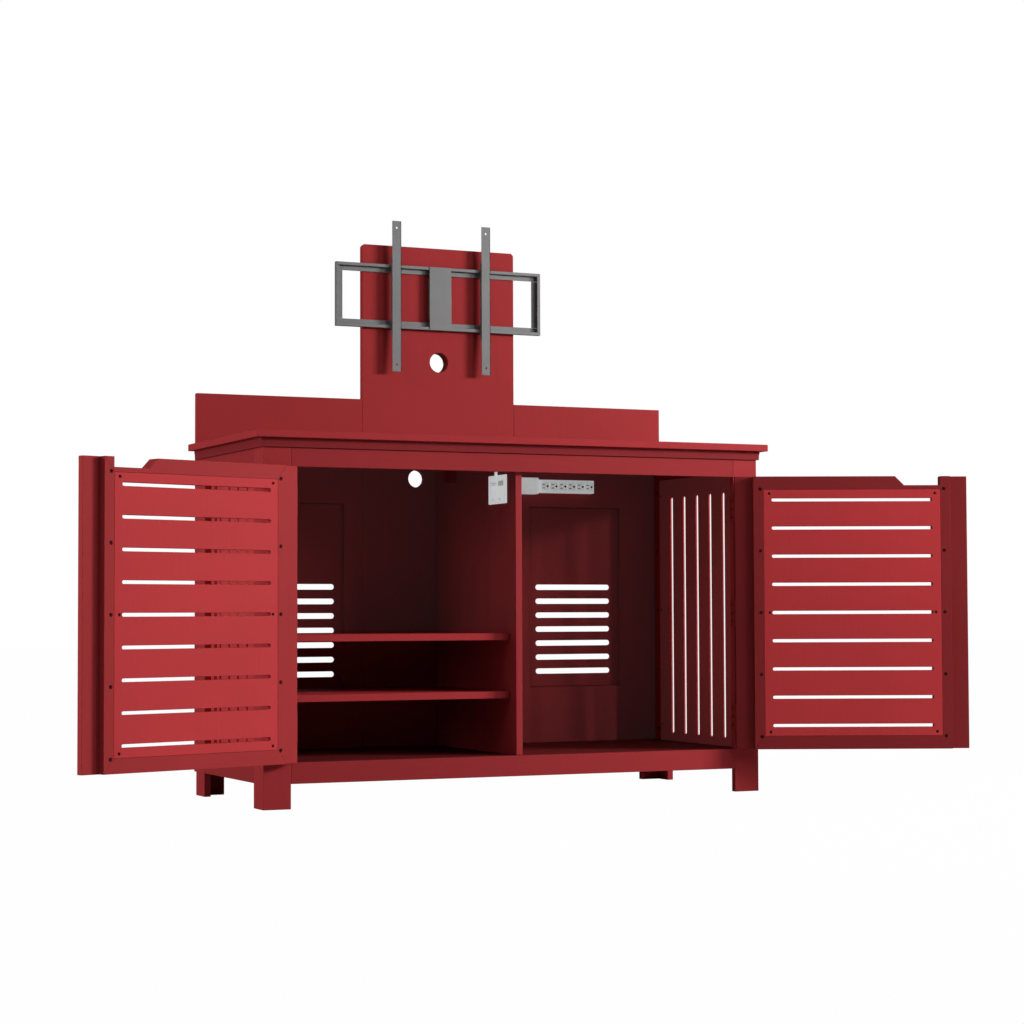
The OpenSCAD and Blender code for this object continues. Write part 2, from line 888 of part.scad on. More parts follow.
module each_stiffener_screw() {
    for (s = [-1, 1], i = [0 : stiffener_screw_count - 1]) translate([
        screen_x + s * (screen_board_w / 2 - stiffener_inset - stiffener_screw_inset), 0,
        screen_board_height - stiffener_screw_inset - i
        * (stiffener_h - 2 * stiffener_screw_inset) / (stiffener_screw_count - 1)]) children();
}

module stiffener_screw_holes() {
    each_stiffener_screw() screw_hole_y(big_screw_r, big_head_r, big_head_h,
        stiffener_screw_len, back_y + board_t);
}

module cabinet_screws() {
    color(screw_black) placed() {
        side_screws();
        mirrored_side() side_screws();
        each_back_screw() screw_y(big_screw_r, big_head_r, big_head_h, back_screw_len, back_y);
        mirrored_side() each_back_screw()
            screw_y(big_screw_r, big_head_r, big_head_h, back_screw_len, back_y);
        hatch_screws();
        mirrored_side() hatch_screws();
        each_stiffener_screw() screw_y(big_screw_r, big_head_r, big_head_h,
            stiffener_screw_len, back_y + board_t);
        leg_hinge_screws();
        mirrored_side() leg_hinge_screws();
    }
}

// Screen mount: a hat bracket on the board, a plate over it and a folded frame
module each_lag() {
    for (s = [-1, 1], t = [-1, 1]) translate([
        mid_x + s * (bracket_w / 2 - bracket_flange / 2), 0,
        mount_z + t * (bracket_h / 2 - bracket_flange)]) children();
}

module lag_holes() {
    each_lag() rod_y(lag_r + screw_clearance, body_d - overrun, body_d + lag_len);
}

module mount_bracket() {
    front = mount_front_y;
    web = bracket_w - 2 * bracket_flange;
    color(steel_grey) placed() difference() {
        union() {
            slab([mid_x - bracket_w / 2, body_d - steel_t, mount_z - bracket_h / 2],
                [mid_x + bracket_w / 2, body_d, mount_z + bracket_h / 2]);
            slab([mid_x - web / 2, front, mount_z - bracket_h / 2],
                [mid_x + web / 2, body_d, mount_z + bracket_h / 2]);
        }
        slab([mid_x - web / 2 + steel_t, front + steel_t, mount_z - bracket_h / 2 - overrun],
            [mid_x + web / 2 - steel_t, body_d + overrun, mount_z + bracket_h / 2 + overrun]);
        each_lag() rod_y(lag_r + screw_clearance, body_d - steel_t - overrun,
            body_d + overrun);
    }
}

module mount_plate() {
    color(steel_grey) placed() slab([mid_x - plate_w / 2, mount_front_y - steel_t, mount_lo],
        [mid_x + plate_w / 2, mount_front_y, mount_hi]);
}

// The frame's section: a web at its outer edge, a lip before it, a flange behind
module channel_section() {
    square([steel_t, channel_d]);
    square([channel_lip_w, steel_t]);
    translate([0, channel_d - steel_t]) square([channel_w, steel_t]);
}

// A rail along x whose outer edge is at z, on the upper or the lower side
module channel_rail(z, up) {
    x0 = mount_l + steel_t + seam;
    x1 = mount_r - steel_t - seam;
    translate([x0, mount_front_y, z]) multmatrix([[0, 0, 1, 0], [0, 1, 0, 0],
        [up ? -1 : 1, 0, 0, 0]]) linear_extrude(x1 - x0) channel_section();
}

module mount_top_rail() {
    color(steel_grey) placed() channel_rail(mount_hi, true);
}

module mount_bottom_rail() {
    color(steel_grey) placed() channel_rail(mount_lo, false);
}

// An end of the frame: its lip and flange fit between those of the rails
module mount_end() {
    lip_z = channel_lip_w + seam;
    flange_z = channel_w + seam;
    translate([mount_l, mount_front_y, mount_lo]) {
        cube([steel_t, channel_d, mount_h]);
        translate([0, 0, lip_z]) cube([channel_lip_w, steel_t, mount_h - 2 * lip_z]);
        translate([0, channel_d - steel_t, flange_z])
            cube([channel_w, steel_t, mount_h - 2 * flange_z]);
    }
}

module mount_ends() {
    color(steel_grey) placed() {
        mount_end();
        mirrored_side() mount_end();
    }
}

module mount_bolts() {
    color(steel_grey) placed() each_lag() {
        rod_y(lag_head_r, body_d - steel_t - lag_head_h, body_d - steel_t);
        rod_y(lag_r, body_d - steel_t, body_d + lag_len - overrun);
    }
}

// Arms: folded strips, open to the left, whose hook bolts grip behind the rails' lips
arm_shift = arm_spacing / 2;
arm_bolt_zs = [mount_lo + arm_bolt_in, mount_hi - arm_bolt_in];

// The side of an arm: deep along the mount frame, shallow towards both ends
module arm_web() {
    front = arm_front_y;
    tip = arm_len / 2;
    core = arm_core_h / 2;
    translate([arm_w / 2 - steel_t, 0, 0]) multmatrix([[0, 0, 1, 0], [1, 0, 0, 0],
        [0, 1, 0, 0]]) linear_extrude(steel_t) polygon([[front, -tip],
            [front + arm_tip_d, -tip], [arm_back_y, -core], [arm_back_y, core],
            [front + arm_tip_d, tip], [front, tip]]);
}

module arm(x) {
    translate([x, 0, arm_mid_z]) difference() {
        union() {
            slab([-arm_w / 2, arm_front_y, -arm_len / 2],
                [arm_w / 2, arm_front_y + steel_t, arm_len / 2]);
            slab([-arm_w / 2, arm_back_y - steel_t, -arm_core_h / 2],
                [arm_w / 2, arm_back_y, arm_core_h / 2]);
            arm_web();
        }
        for (s = [-1, 1]) translate([0, 0, s * screen_hole_span / 2])
            rod_y(screen_hole_r, arm_front_y - overrun, arm_front_y + steel_t + overrun);
        for (z = arm_bolt_zs) translate([0, 0, z - arm_mid_z])
            rod_y(arm_bolt_r + pin_clearance, arm_back_y - steel_t - overrun,
                arm_back_y + overrun);
    }
}

module arm_bolt_pair(x) {
    hook = mount_front_y + steel_t + hook_gap;
    nut = arm_back_y - steel_t - arm_nut_h;
    for (z = arm_bolt_zs) translate([x, 0, z]) {
        rod_y(arm_bolt_r, nut - arm_gap, hook);
        rod_y(arm_bolt_head_r, hook, hook + arm_bolt_head_h);
        rod_y(arm_nut_r, nut, nut + arm_nut_h);
    }
}

module left_arm() {
    color(steel_grey) placed() arm(mid_x - arm_shift);
}

module right_arm() {
    color(steel_grey) placed() arm(mid_x + arm_shift);
}

module left_arm_bolts() {
    color(steel_grey) placed() arm_bolt_pair(mid_x - arm_shift);
}

module right_arm_bolts() {
    color(steel_grey) placed() arm_bolt_pair(mid_x + arm_shift);
}

// Power strip on the back wall of the right bay
function socket_x(i) = strip_right_x - strip_end - (socket_count - 1 - i) * socket_pitch;

module power_strip_case() {
    color(strip_grey) placed() difference() {
        union() {
            rounded_x([strip_left_x, body_d - strip_d, strip_z - strip_h / 2],
                [strip_right_x, body_d, strip_z + strip_h / 2], strip_edge_r);
            rounded_x([strip_left_x - strip_head_len, body_d - strip_head_d,
                strip_z - strip_head_h / 2], [strip_left_x, body_d,
                strip_z + strip_head_h / 2], strip_edge_r);
        }
        for (i = [0 : socket_count - 1]) translate([socket_x(i), 0, strip_z])
            socket_block(screw_clearance);
    }
}

// One socket insert's outline, from before the strip's face to behind its blades
module socket_block(grow) {
    face = body_d - strip_d - socket_proud;
    slab([-socket_w / 2 - grow, face - grow, -socket_h / 2 - grow],
        [socket_w / 2 + grow, face + blade_depth + socket_floor_t + grow, socket_h / 2 + grow]);
}

module power_strip_sockets() {
    face = body_d - strip_d - socket_proud;
    color(socket_grey) placed() for (i = [0 : socket_count - 1])
        translate([socket_x(i), 0, strip_z]) difference() {
            socket_block(0);
            for (s = [-1, 1]) translate([-blade_side, 0, s * blade_gap / 2])
                slab([-blade_w / 2, face - overrun, -blade_h / 2],
                    [blade_w / 2, face + blade_depth, blade_h / 2]);
            translate([ground_side, 0, 0]) rod_y(ground_r, face - overrun, face + blade_depth);
        }
}

// Control box on the divider
module control_box() {
    x1 = mid_x - board_t / 2;
    color(box_white) placed() translate([x1 - box_t, box_y, box_top_z - box_h])
        translate([0, box_edge_r, box_edge_r]) rotate([90, 0, 90]) linear_extrude(box_t)
        offset(box_edge_r) square([box_len - 2 * box_edge_r, box_h - 2 * box_edge_r]);
}

module control_box_tab() {
    x1 = mid_x - board_t / 2;
    color(box_white) placed()
        slab([x1 - box_t / 2 - box_tab_t / 2, box_y + box_tab_y, box_top_z],
            [x1 - box_t / 2 + box_tab_t / 2, box_y + box_tab_y + box_tab_w,
                box_top_z + box_tab_h]);
}

// Doors, each piece drawn closed round the hinge axis
module notch_cut() {
    x1 = leaf_x + leaf_w - notch_end;
    x0 = x1 - notch_len;
    translate([0, border_y + board_t + overrun, 0]) rotate([90, 0, 0])
        linear_extrude(2 * board_t + 2 * overrun) polygon([[x0, leaf_top_z - notch_depth],
            [x1, leaf_top_z - notch_depth], [x1, leaf_top_z + overrun],
            [x0 - notch_depth - overrun, leaf_top_z + overrun]]);
}

big_screw_inset = border_inset + border_side_w / 2 + big_screw_shift;
door_big_xs = [leaf_x + big_screw_inset, leaf_x + leaf_w - big_screw_inset];
door_big_zs = [for (i = [0 : big_screw_count - 1])
    leaf_z + big_screw_end + i * (leaf_h - 2 * big_screw_end) / (big_screw_count - 1)];
door_small_xs = [leaf_x + small_screw_inset, leaf_x + leaf_w - small_screw_inset];
door_small_zs = [for (s = small_screw_shares)
    leaf_z + small_screw_end + s * (leaf_h - 2 * small_screw_end)];

module door_screw_holes() {
    for (x = door_big_xs, z = door_big_zs) translate([x, 0, z])
        screw_hole_y(big_screw_r, big_head_r, big_head_h, door_big_len, border_y + board_t);
    for (x = door_small_xs, z = door_small_zs) translate([x, 0, z])
        screw_hole_y(small_screw_r, small_head_r, small_head_h, door_small_len,
            border_y + board_t);
}

module door_stiles(right) {
    color(frame_red) placed() on_door(right) difference() {
        for (x = [leaf_x, leaf_x + leaf_w - stile_w])
            slab([x, leaf_y, leaf_z], [x + stile_w, border_y, leaf_top_z]);
        notch_cut();
        door_screw_holes();
        door_hinge_screw_holes();
    }
}

module door_rails(right) {
    x0 = leaf_x + stile_w + seam;
    x1 = leaf_x + leaf_w - stile_w - seam;
    color(frame_red) placed() on_door(right) difference() {
        for (z = [leaf_z, leaf_top_z - door_rail_h])
            slab([x0, leaf_y, z], [x1, border_y, z + door_rail_h]);
        notch_cut();
    }
}

// One side and one end of the mitred border, outside corner at the origin
module door_border(right) {
    x0 = leaf_x + border_inset;
    x1 = leaf_x + leaf_w - border_inset;
    w = border_side_w;
    h = border_rail_h;
    color(frame_red) placed() on_door(right) difference() {
        translate([0, border_y + board_t, 0]) rotate([90, 0, 0]) linear_extrude(board_t) {
            polygon([[x0, leaf_z + seam], [x0 + w, leaf_z + h + seam],
                [x0 + w, leaf_top_z - h - seam], [x0, leaf_top_z - seam]]);
            polygon([[x1, leaf_z + seam], [x1 - w, leaf_z + h + seam],
                [x1 - w, leaf_top_z - h - seam], [x1, leaf_top_z - seam]]);
            polygon([[x0, leaf_z], [x1, leaf_z], [x1 - w, leaf_z + h], [x0 + w, leaf_z + h]]);
            polygon([[x0, leaf_top_z], [x1, leaf_top_z], [x1 - w, leaf_top_z - h],
                [x0 + w, leaf_top_z - h]]);
        }
        notch_cut();
        door_screw_holes();
    }
}

module door_panel(right) {
    color(panel_red) placed() on_door(right) difference() {
        slab([leaf_x + border_inset + border_side_w + seam, border_y,
                leaf_z + border_rail_h + seam],
            [leaf_x + leaf_w - border_inset - border_side_w - seam, border_y + board_t,
                leaf_top_z - border_rail_h - seam]);
        for (i = [0 : door_slot_count - 1]) translate([leaf_x + leaf_w / 2, 0,
                leaf_top_z - door_slot_end - i * door_slot_pitch])
            round_slot(door_slot_len, door_slot_h, border_y - overrun,
                border_y + board_t + overrun);
        door_screw_holes();
    }
}

module door_screws(right) {
    face = border_y + board_t;
    color(screw_black) placed() on_door(right) {
        for (x = door_big_xs, z = door_big_zs) translate([x, 0, z])
            screw_y(big_screw_r, big_head_r, big_head_h, door_big_len, face);
        for (x = door_small_xs, z = door_small_zs) translate([x, 0, z])
            screw_y(small_screw_r, small_head_r, small_head_h, door_small_len, face);
        door_hinge_screws();
    }
}

// Hinges: the door's leaf is at +x of the axis, the leg's leaf at -x
hinge_leaf_y = knuckle_r + knuckle_clearance;
hinge_screw_y = hinge_leaf_y + hinge_leaf_w / 2;
hinge_screw_rises = [knuckle_pitch, hinge_len / 2, hinge_len - knuckle_pitch];

module hinge_leaf(side, first) {
    x0 = side > 0 ? leaf_x - hinge_leaf_t : -leaf_x;
    own = [for (i = [first : 2 : hinge_knuckles - 1]) i * knuckle_pitch];
    difference() {
        union() {
            slab([x0, hinge_leaf_y, 0], [x0 + hinge_leaf_t, hinge_leaf_y + hinge_leaf_w,
                hinge_len]);
            for (z = own) {
                translate([0, 0, z + knuckle_gap / 2])
                    cylinder(r = knuckle_r, h = knuckle_pitch - knuckle_gap);
                slab([x0, 0, z + knuckle_gap / 2], [x0 + hinge_leaf_t,
                    hinge_leaf_y + overrun, z + knuckle_pitch - knuckle_gap / 2]);
            }
        }
        translate([0, 0, -overrun])
            cylinder(r = hinge_pin_r + pin_clearance, h = hinge_len + 2 * overrun);
        for (z = hinge_screw_rises) translate([x0 + (side > 0 ? 0 : hinge_leaf_t),
            hinge_screw_y, z]) hinge_screw_cut(side);
    }
}

// A countersunk screw along x whose face is at x = 0, its tip towards side
module hinge_screw(side, grow) {
    rotate([0, side * 90, 0]) {
        cylinder(r1 = hinge_screw_head_r + grow, r2 = hinge_screw_r + grow,
            h = hinge_leaf_t);
        cylinder(r = hinge_screw_r + grow, h = hinge_screw_len + grow);
    }
}

module hinge_screw_cut(side) {
    hinge_screw(side, screw_clearance);
}

module each_hinge() {
    for (z = hinge_zs) translate([0, 0, z - hinge_len / 2]) children();
}

module door_hinge_screw_set(grow) {
    each_hinge() for (z = hinge_screw_rises)
        translate([leaf_x - hinge_leaf_t, hinge_screw_y, z]) hinge_screw(1, grow);
}

module door_hinge_screw_holes() {
    door_hinge_screw_set(screw_clearance);
}

module door_hinge_screws() {
    door_hinge_screw_set(0);
}

module leg_hinge_screw_set(grow) {
    translate([hinge_x, hinge_y, 0]) each_hinge() for (z = hinge_screw_rises)
        translate([-leaf_x + hinge_leaf_t, hinge_screw_y, z]) hinge_screw(-1, grow);
}

module leg_hinge_screw_holes() {
    leg_hinge_screw_set(screw_clearance);
}

module leg_hinge_screws() {
    leg_hinge_screw_set(0);
}

module door_hinge_leaves(right) {
    color(hinge_red) placed() on_door(right) each_hinge() hinge_leaf(1, 1);
}

module leg_hinge_leaves() {
    color(hinge_red) placed() {
        translate([hinge_x, hinge_y, 0]) each_hinge() hinge_leaf(-1, 0);
        mirrored_side() translate([hinge_x, hinge_y, 0]) each_hinge() hinge_leaf(-1, 0);
    }
}

module hinge_pin_set() {
    translate([hinge_x, hinge_y, 0]) each_hinge() {
        cylinder(r = hinge_pin_r, h = hinge_len);
        translate([0, 0, hinge_len]) cylinder(r = hinge_pin_head_r, h = hinge_pin_head_h);
    }
}

module hinge_pins() {
    color(hinge_red) placed() {
        hinge_pin_set();
        mirrored_side() hinge_pin_set();
    }
}

module left_door_stiles() { door_stiles(false); }
module left_door_rails() { door_rails(false); }
module left_door_border() { door_border(false); }
module left_door_panel() { door_panel(false); }
module left_door_screws() { door_screws(false); }
module left_door_hinge_leaves() { door_hinge_leaves(false); }
module right_door_stiles() { door_stiles(true); }
module right_door_rails() { door_rails(true); }
module right_door_border() { door_border(true); }
module right_door_panel() { door_panel(true); }
module right_door_screws() { door_screws(true); }
module right_door_hinge_leaves() { door_hinge_leaves(true); }

front_left_leg_face();
front_left_leg_side();
front_right_leg_face();
front_right_leg_side();
rear_left_leg_side();
rear_right_leg_side();
rear_leg_faces();
front_top_rail();
front_bottom_rail();
rear_rails();
side_top_rails();
side_bottom_rails();
left_side_panel();
right_side_panel();
side_battens();
floor_board();
divider();
worktop_cleats();
upper_shelf();
lower_shelf();
shelf_pins();
worktop();
front_moulding();
side_mouldings();
left_back_board();
right_back_board();
screen_board();
screen_board_stiffener();
left_hatch();
right_hatch();
hatch_battens();
cabinet_screws();
mount_bracket();
mount_plate();
mount_top_rail();
mount_bottom_rail();
mount_ends();
mount_bolts();
left_arm();
right_arm();
left_arm_bolts();
right_arm_bolts();
power_strip_case();
power_strip_sockets();
control_box();
control_box_tab();
left_door_stiles();
left_door_rails();
left_door_border();
left_door_panel();
left_door_screws();
left_door_hinge_leaves();
right_door_stiles();
right_door_rails();
right_door_border();
right_door_panel();
right_door_screws();
right_door_hinge_leaves();
leg_hinge_leaves();
hinge_pins();
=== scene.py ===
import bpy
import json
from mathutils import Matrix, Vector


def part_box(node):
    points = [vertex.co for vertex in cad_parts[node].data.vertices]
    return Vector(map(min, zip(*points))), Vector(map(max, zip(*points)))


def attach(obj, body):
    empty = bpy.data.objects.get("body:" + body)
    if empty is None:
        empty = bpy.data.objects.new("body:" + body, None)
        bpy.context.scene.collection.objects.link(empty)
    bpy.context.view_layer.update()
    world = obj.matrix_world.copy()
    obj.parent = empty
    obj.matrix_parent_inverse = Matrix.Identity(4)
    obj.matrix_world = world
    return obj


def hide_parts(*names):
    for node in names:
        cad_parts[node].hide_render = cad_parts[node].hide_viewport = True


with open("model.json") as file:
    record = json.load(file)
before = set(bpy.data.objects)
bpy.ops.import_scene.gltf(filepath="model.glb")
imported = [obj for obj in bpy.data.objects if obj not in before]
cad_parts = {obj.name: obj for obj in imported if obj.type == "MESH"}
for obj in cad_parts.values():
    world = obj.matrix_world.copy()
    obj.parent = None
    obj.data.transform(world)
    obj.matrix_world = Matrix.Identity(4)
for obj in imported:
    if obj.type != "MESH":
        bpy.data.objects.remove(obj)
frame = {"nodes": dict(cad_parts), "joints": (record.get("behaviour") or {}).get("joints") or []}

"""Finished look of the outdoor entertainment center.

Every board, rail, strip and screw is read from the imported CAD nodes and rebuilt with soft
edges, rounded corners and drive recesses. Lengths are millimetres in the cabinet's own
frame: x from the body's left side, y from its front plane, z from the ground. Each class is
one sub-assembly of the object with its sizes as fields, and each finish is a frozen dataclass.
"""

import json
import logging
from dataclasses import dataclass, field
from enum import Enum
from math import cos, pi, radians, sin
from typing import Callable, Iterable, Iterator, Optional, Sequence

import bpy
import numpy as np
from mathutils import Matrix, Vector
from mathutils.geometry import tessellate_polygon

LOG = logging.getLogger("scene")
MM = 0.001
RIGHT_ANGLE = radians(90)
LEVEL = 0.02
"""Points that are this near to a flat face's level, in millimetres, lie on it."""
WELD = 0.01
"""Points that are this near to each other, in millimetres, are one point."""
ARC_STEP = radians(25)
"""Corners that turn by less are steps of an arc already."""
SMOOTH_BELOW = 6.0
"""Edges of an outline that are shorter than this, in millimetres, are steps of an arc."""
REACH_SHARE = 0.45
"""An arc reaches this share of an edge at the most, so that two arcs never meet."""
LEAST_SPREAD = 0.3
"""The least divisor of an inset, which keeps very sharp corners near."""
NO_AREA = 1e-9
"""Triangles with less area than this, in square millimetres, are left out."""
WHITE = (1.0, 1.0, 1.0, 1.0)

Loop = np.ndarray
Colour = tuple[float, float, float]
Cut = Callable[[np.ndarray], tuple]


class Axis(Enum):
    """The direction that a flat piece is thick in, with the two directions of its outline."""

    X = 0
    Y = 1
    Z = 2

    @property
    def outline(self) -> tuple[int, int]:
        """The indexes of the outline's first and second direction, right-handed."""
        return (self.value + 1) % 3, (self.value + 2) % 3


class Side(Enum):
    """Which end of an axis is meant."""

    LOW = 0
    HIGH = 1

    @property
    def other(self) -> "Side":
        """The opposite end."""
        return Side(1 - self.value)


class Hand(Enum):
    """Which of the two doors, arms or side panels is meant."""

    LEFT = "left"
    RIGHT = "right"


@dataclass(frozen=True)
class Placement:
    """A frame in millimetres that stands turned about Z in the row frame.

    Attributes:
        origin: Where the frame's zero point is, in metres.
        degrees: The turn about Z from the row frame to this frame.
    """

    origin: tuple[float, float, float]
    degrees: float = 0.0

    @staticmethod
    def turned(points: np.ndarray, degrees: float) -> np.ndarray:
        """Turns points about Z: x' = x cos a - y sin a and y' = x sin a + y cos a.

        Args:
            points: The points, one row each.
            degrees: The angle a.

        Returns:
            The turned points.
        """
        c, s = cos(radians(degrees)), sin(radians(degrees))
        made = points.copy()
        made[:, 0] = points[:, 0] * c - points[:, 1] * s
        made[:, 1] = points[:, 0] * s + points[:, 1] * c
        return made

    def to_local(self, points: np.ndarray) -> np.ndarray:
        """Row-frame metres to millimetres of this frame."""
        return self.turned((points - np.array(self.origin)) / MM, -self.degrees)

    def to_row(self, points: np.ndarray) -> np.ndarray:
        """Millimetres of this frame to row-frame metres."""
        return self.turned(points, self.degrees) * MM + np.array(self.origin)


# Outlines


def cross(a: np.ndarray, b: np.ndarray) -> np.ndarray:
    """The cross products of two rows of flat vectors."""
    return a[:, 0] * b[:, 1] - a[:, 1] * b[:, 0]


def signed_area(loop: Loop) -> float:
    """Half the sum of the cross products of neighbouring points; above 0 counter-clockwise."""
    return float(cross(loop, np.roll(loop, -1, axis=0)).sum()) / 2


def by_size(loops: Iterable[Loop]) -> list[Loop]:
    """The outlines, the one with the largest area first."""
    return sorted(loops, key=lambda loop: -abs(signed_area(loop)))


def edges_into(loop: Loop) -> tuple[np.ndarray, np.ndarray]:
    """The directions of the edges that lead to an outline's points, and their lengths."""
    edge = loop - np.roll(loop, 1, axis=0)
    length = np.linalg.norm(edge, axis=1)
    return edge / length[:, None], length


def circle(x: float, y: float, radius: float, count: int = 24, dip: float = 0.0,
           lobes: int = 0) -> Loop:
    """A round outline, which may have lobes like a drive recess.

    Its points are x + r cos t, y + r sin t, with r = radius (1 - dip (1 - cos(lobes t)) / 2).

    Args:
        x: Its middle's first coordinate.
        y: Its middle's second coordinate.
        radius: Its largest radius.
        count: How many points it has.
        dip: How deep the hollows between the lobes are, as a share of the radius.
        lobes: How many lobes it has.

    Returns:
        The outline, counter-clockwise.
    """
    t = np.arange(count) * 2 * pi / count
    r = radius * (1 - dip * (1 - np.cos(lobes * t)) / 2)
    return np.stack([x + r * np.cos(t), y + r * np.sin(t)], 1)


def oblong(x0: float, y0: float, x1: float, y1: float) -> Loop:
    """A counter-clockwise rectangle."""
    return np.array([[x0, y0], [x1, y0], [x1, y1], [x0, y1]], float)


def without_straight_points(loop: Loop, tolerance: float = 1e-3) -> Loop:
    """Leaves out doubled points and points in the middle of a straight edge.

    Args:
        loop: The outline.
        tolerance: The sine of the least turn at a point that stays.

    Returns:
        The outline with its corners alone.
    """
    step = loop - np.roll(loop, 1, axis=0)
    loop = loop[np.linalg.norm(step, axis=1) > LEVEL]
    into, _ = edges_into(loop)
    out = np.roll(into, -1, axis=0)
    return loop[(abs(cross(into, out)) > tolerance) | ((into * out).sum(1) < 0)]


def rounded_corners(loop: Loop, radius: float, steps: int = 4) -> Loop:
    """Replaces each sharp corner by an arc.

    The arc touches both edges at radius * tan(turn / 2) from the corner, or at a share of
    the shorter edge where that is less. Its middle is that far back along the first edge
    and a radius to the inner side.

    Args:
        loop: The outline.
        radius: The arc's radius.
        steps: Edges per arc.

    Returns:
        The outline with arcs.
    """
    if radius <= 0:
        return loop
    into, length = edges_into(loop)
    out = np.roll(into, -1, axis=0)
    turn = np.arctan2(cross(into, out), (into * out).sum(1))
    sharp = abs(turn) >= ARC_STEP
    slope = np.tan(np.where(sharp, abs(turn), 1.0) / 2)
    reach = np.minimum(radius * slope, REACH_SHARE * np.minimum(length, np.roll(length, -1)))
    inner = np.stack([-into[:, 1], into[:, 0]], 1) * np.where(turn > 0, 1.0, -1.0)[:, None]
    r = reach / slope
    middle = loop - into * reach[:, None] + inner * r[:, None]
    k = np.arange(steps + 1)
    t = np.arctan2(-inner[:, 1], -inner[:, 0])[:, None] + turn[:, None] * k / steps
    arc = middle[:, None] + r[:, None, None] * np.stack([np.cos(t), np.sin(t)], -1)
    arc[~sharp] = loop[~sharp][:, None]
    return arc[sharp[:, None] | (k == 0)]


def inset(loop: Loop, distance: float) -> Loop:
    """Moves an outline to its left, which is into the material, by a distance.

    A point moves along n1 + n2, the sum of its two edges' left normals, divided by
    1 + n1 . n2, so that both edges move by the same distance.

    Args:
        loop: The outline.
        distance: How far it moves.

    Returns:
        The moved outline.
    """
    into, _ = edges_into(loop)
    back = np.stack([-into[:, 1], into[:, 0]], 1)
    ahead = np.roll(back, -1, axis=0)
    spread = 1 + (ahead * back).sum(1, keepdims=True)
    return loop + distance * (ahead + back) / np.maximum(spread, LEAST_SPREAD)


# Shapes


@dataclass(frozen=True)
class Edges:
    """Radii of a flat piece: of the arrises round its faces and of its outline's corners.

    A corner's radius is at least corner_share times the arris, so that an arris can turn it.
    """

    arris: float = 1.2
    corner: float = 1.6
    corner_share: float = 1.3

    @property
    def turn(self) -> float:
        """The radius that the outline's corners get."""
        return max(self.corner, self.arris * self.corner_share)


@dataclass
class Shape:
    """Points and faces. A flat piece's points are outline u, outline v and thickness first.

    Attributes:
        points: One row for each point.
        faces: Indexes into the points, seen from outside counter-clockwise.
        smooth: For each face, whether it is shaded smooth.
    """

    points: np.ndarray
    faces: list[list[int]]
    smooth: list[bool]

    def along(self, axis: Axis, at: Sequence[float] = (0.0, 0.0, 0.0)) -> "Shape":
        """Turns outline u, outline v and thickness into x, y and z.

        Args:
            axis: The direction that the thickness gets.
            at: Where the shape's zero point gets to.

        Returns:
            The turned and moved shape.
        """
        points = np.empty_like(self.points)
        points[:, [*axis.outline, axis.value]] = self.points
        return Shape(points + np.array(at), self.faces, self.smooth)


Parts = Iterable[tuple[Shape, bpy.types.Material]]


def ring_quads(rings: int, count: int, start: int = 0) -> np.ndarray:
    """Quads between neighbouring rings. Point k of ring i has the index start + i count + k.

    Args:
        rings: How many rings there are.
        count: Points per ring, of which the last joins the first.
        start: The index of the first point.

    Returns:
        Four indexes for each quad.
    """
    grid = start + np.arange(rings * count).reshape(rings, count)
    after = np.roll(grid, -1, axis=1)
    return np.stack([grid[:-1], after[:-1], after[1:], grid[1:]], -1).reshape(-1, 4)


def swept(rings: np.ndarray, smooth: bool) -> Shape:
    """A closed solid through rings of points, with a face on the first and the last.

    Args:
        rings: The points, by ring, by place in the ring, and as x, y, z.
        smooth: Whether the faces between the rings are smooth.

    Returns:
        The solid.
    """
    count, around = rings.shape[:2]
    quads = ring_quads(count, around).tolist()
    first, last = np.arange(around), np.arange(around) + (count - 1) * around
    faces = quads + [first[::-1].tolist(), last.tolist()]
    return Shape(rings.reshape(-1, 3), faces, [smooth] * len(quads) + [False, False])


def turned_solid(profile: Sequence[tuple[float, float]], count: int = 24) -> Shape:
    """A solid of revolution about the third direction.

    Point k of ring i is (r cos t, r sin t, h) with t = 360 k / count degrees, for each
    radius r and height h of the profile.

    Args:
        profile: Radius and height pairs, from the lowest to the highest.
        count: Points per ring.

    Returns:
        The solid.
    """
    radius, height = np.array(profile).T[:, :, None]
    t = np.arange(count) * 2 * pi / count
    return swept(np.stack([radius * np.cos(t), radius * np.sin(t), height + 0 * t], -1), True)


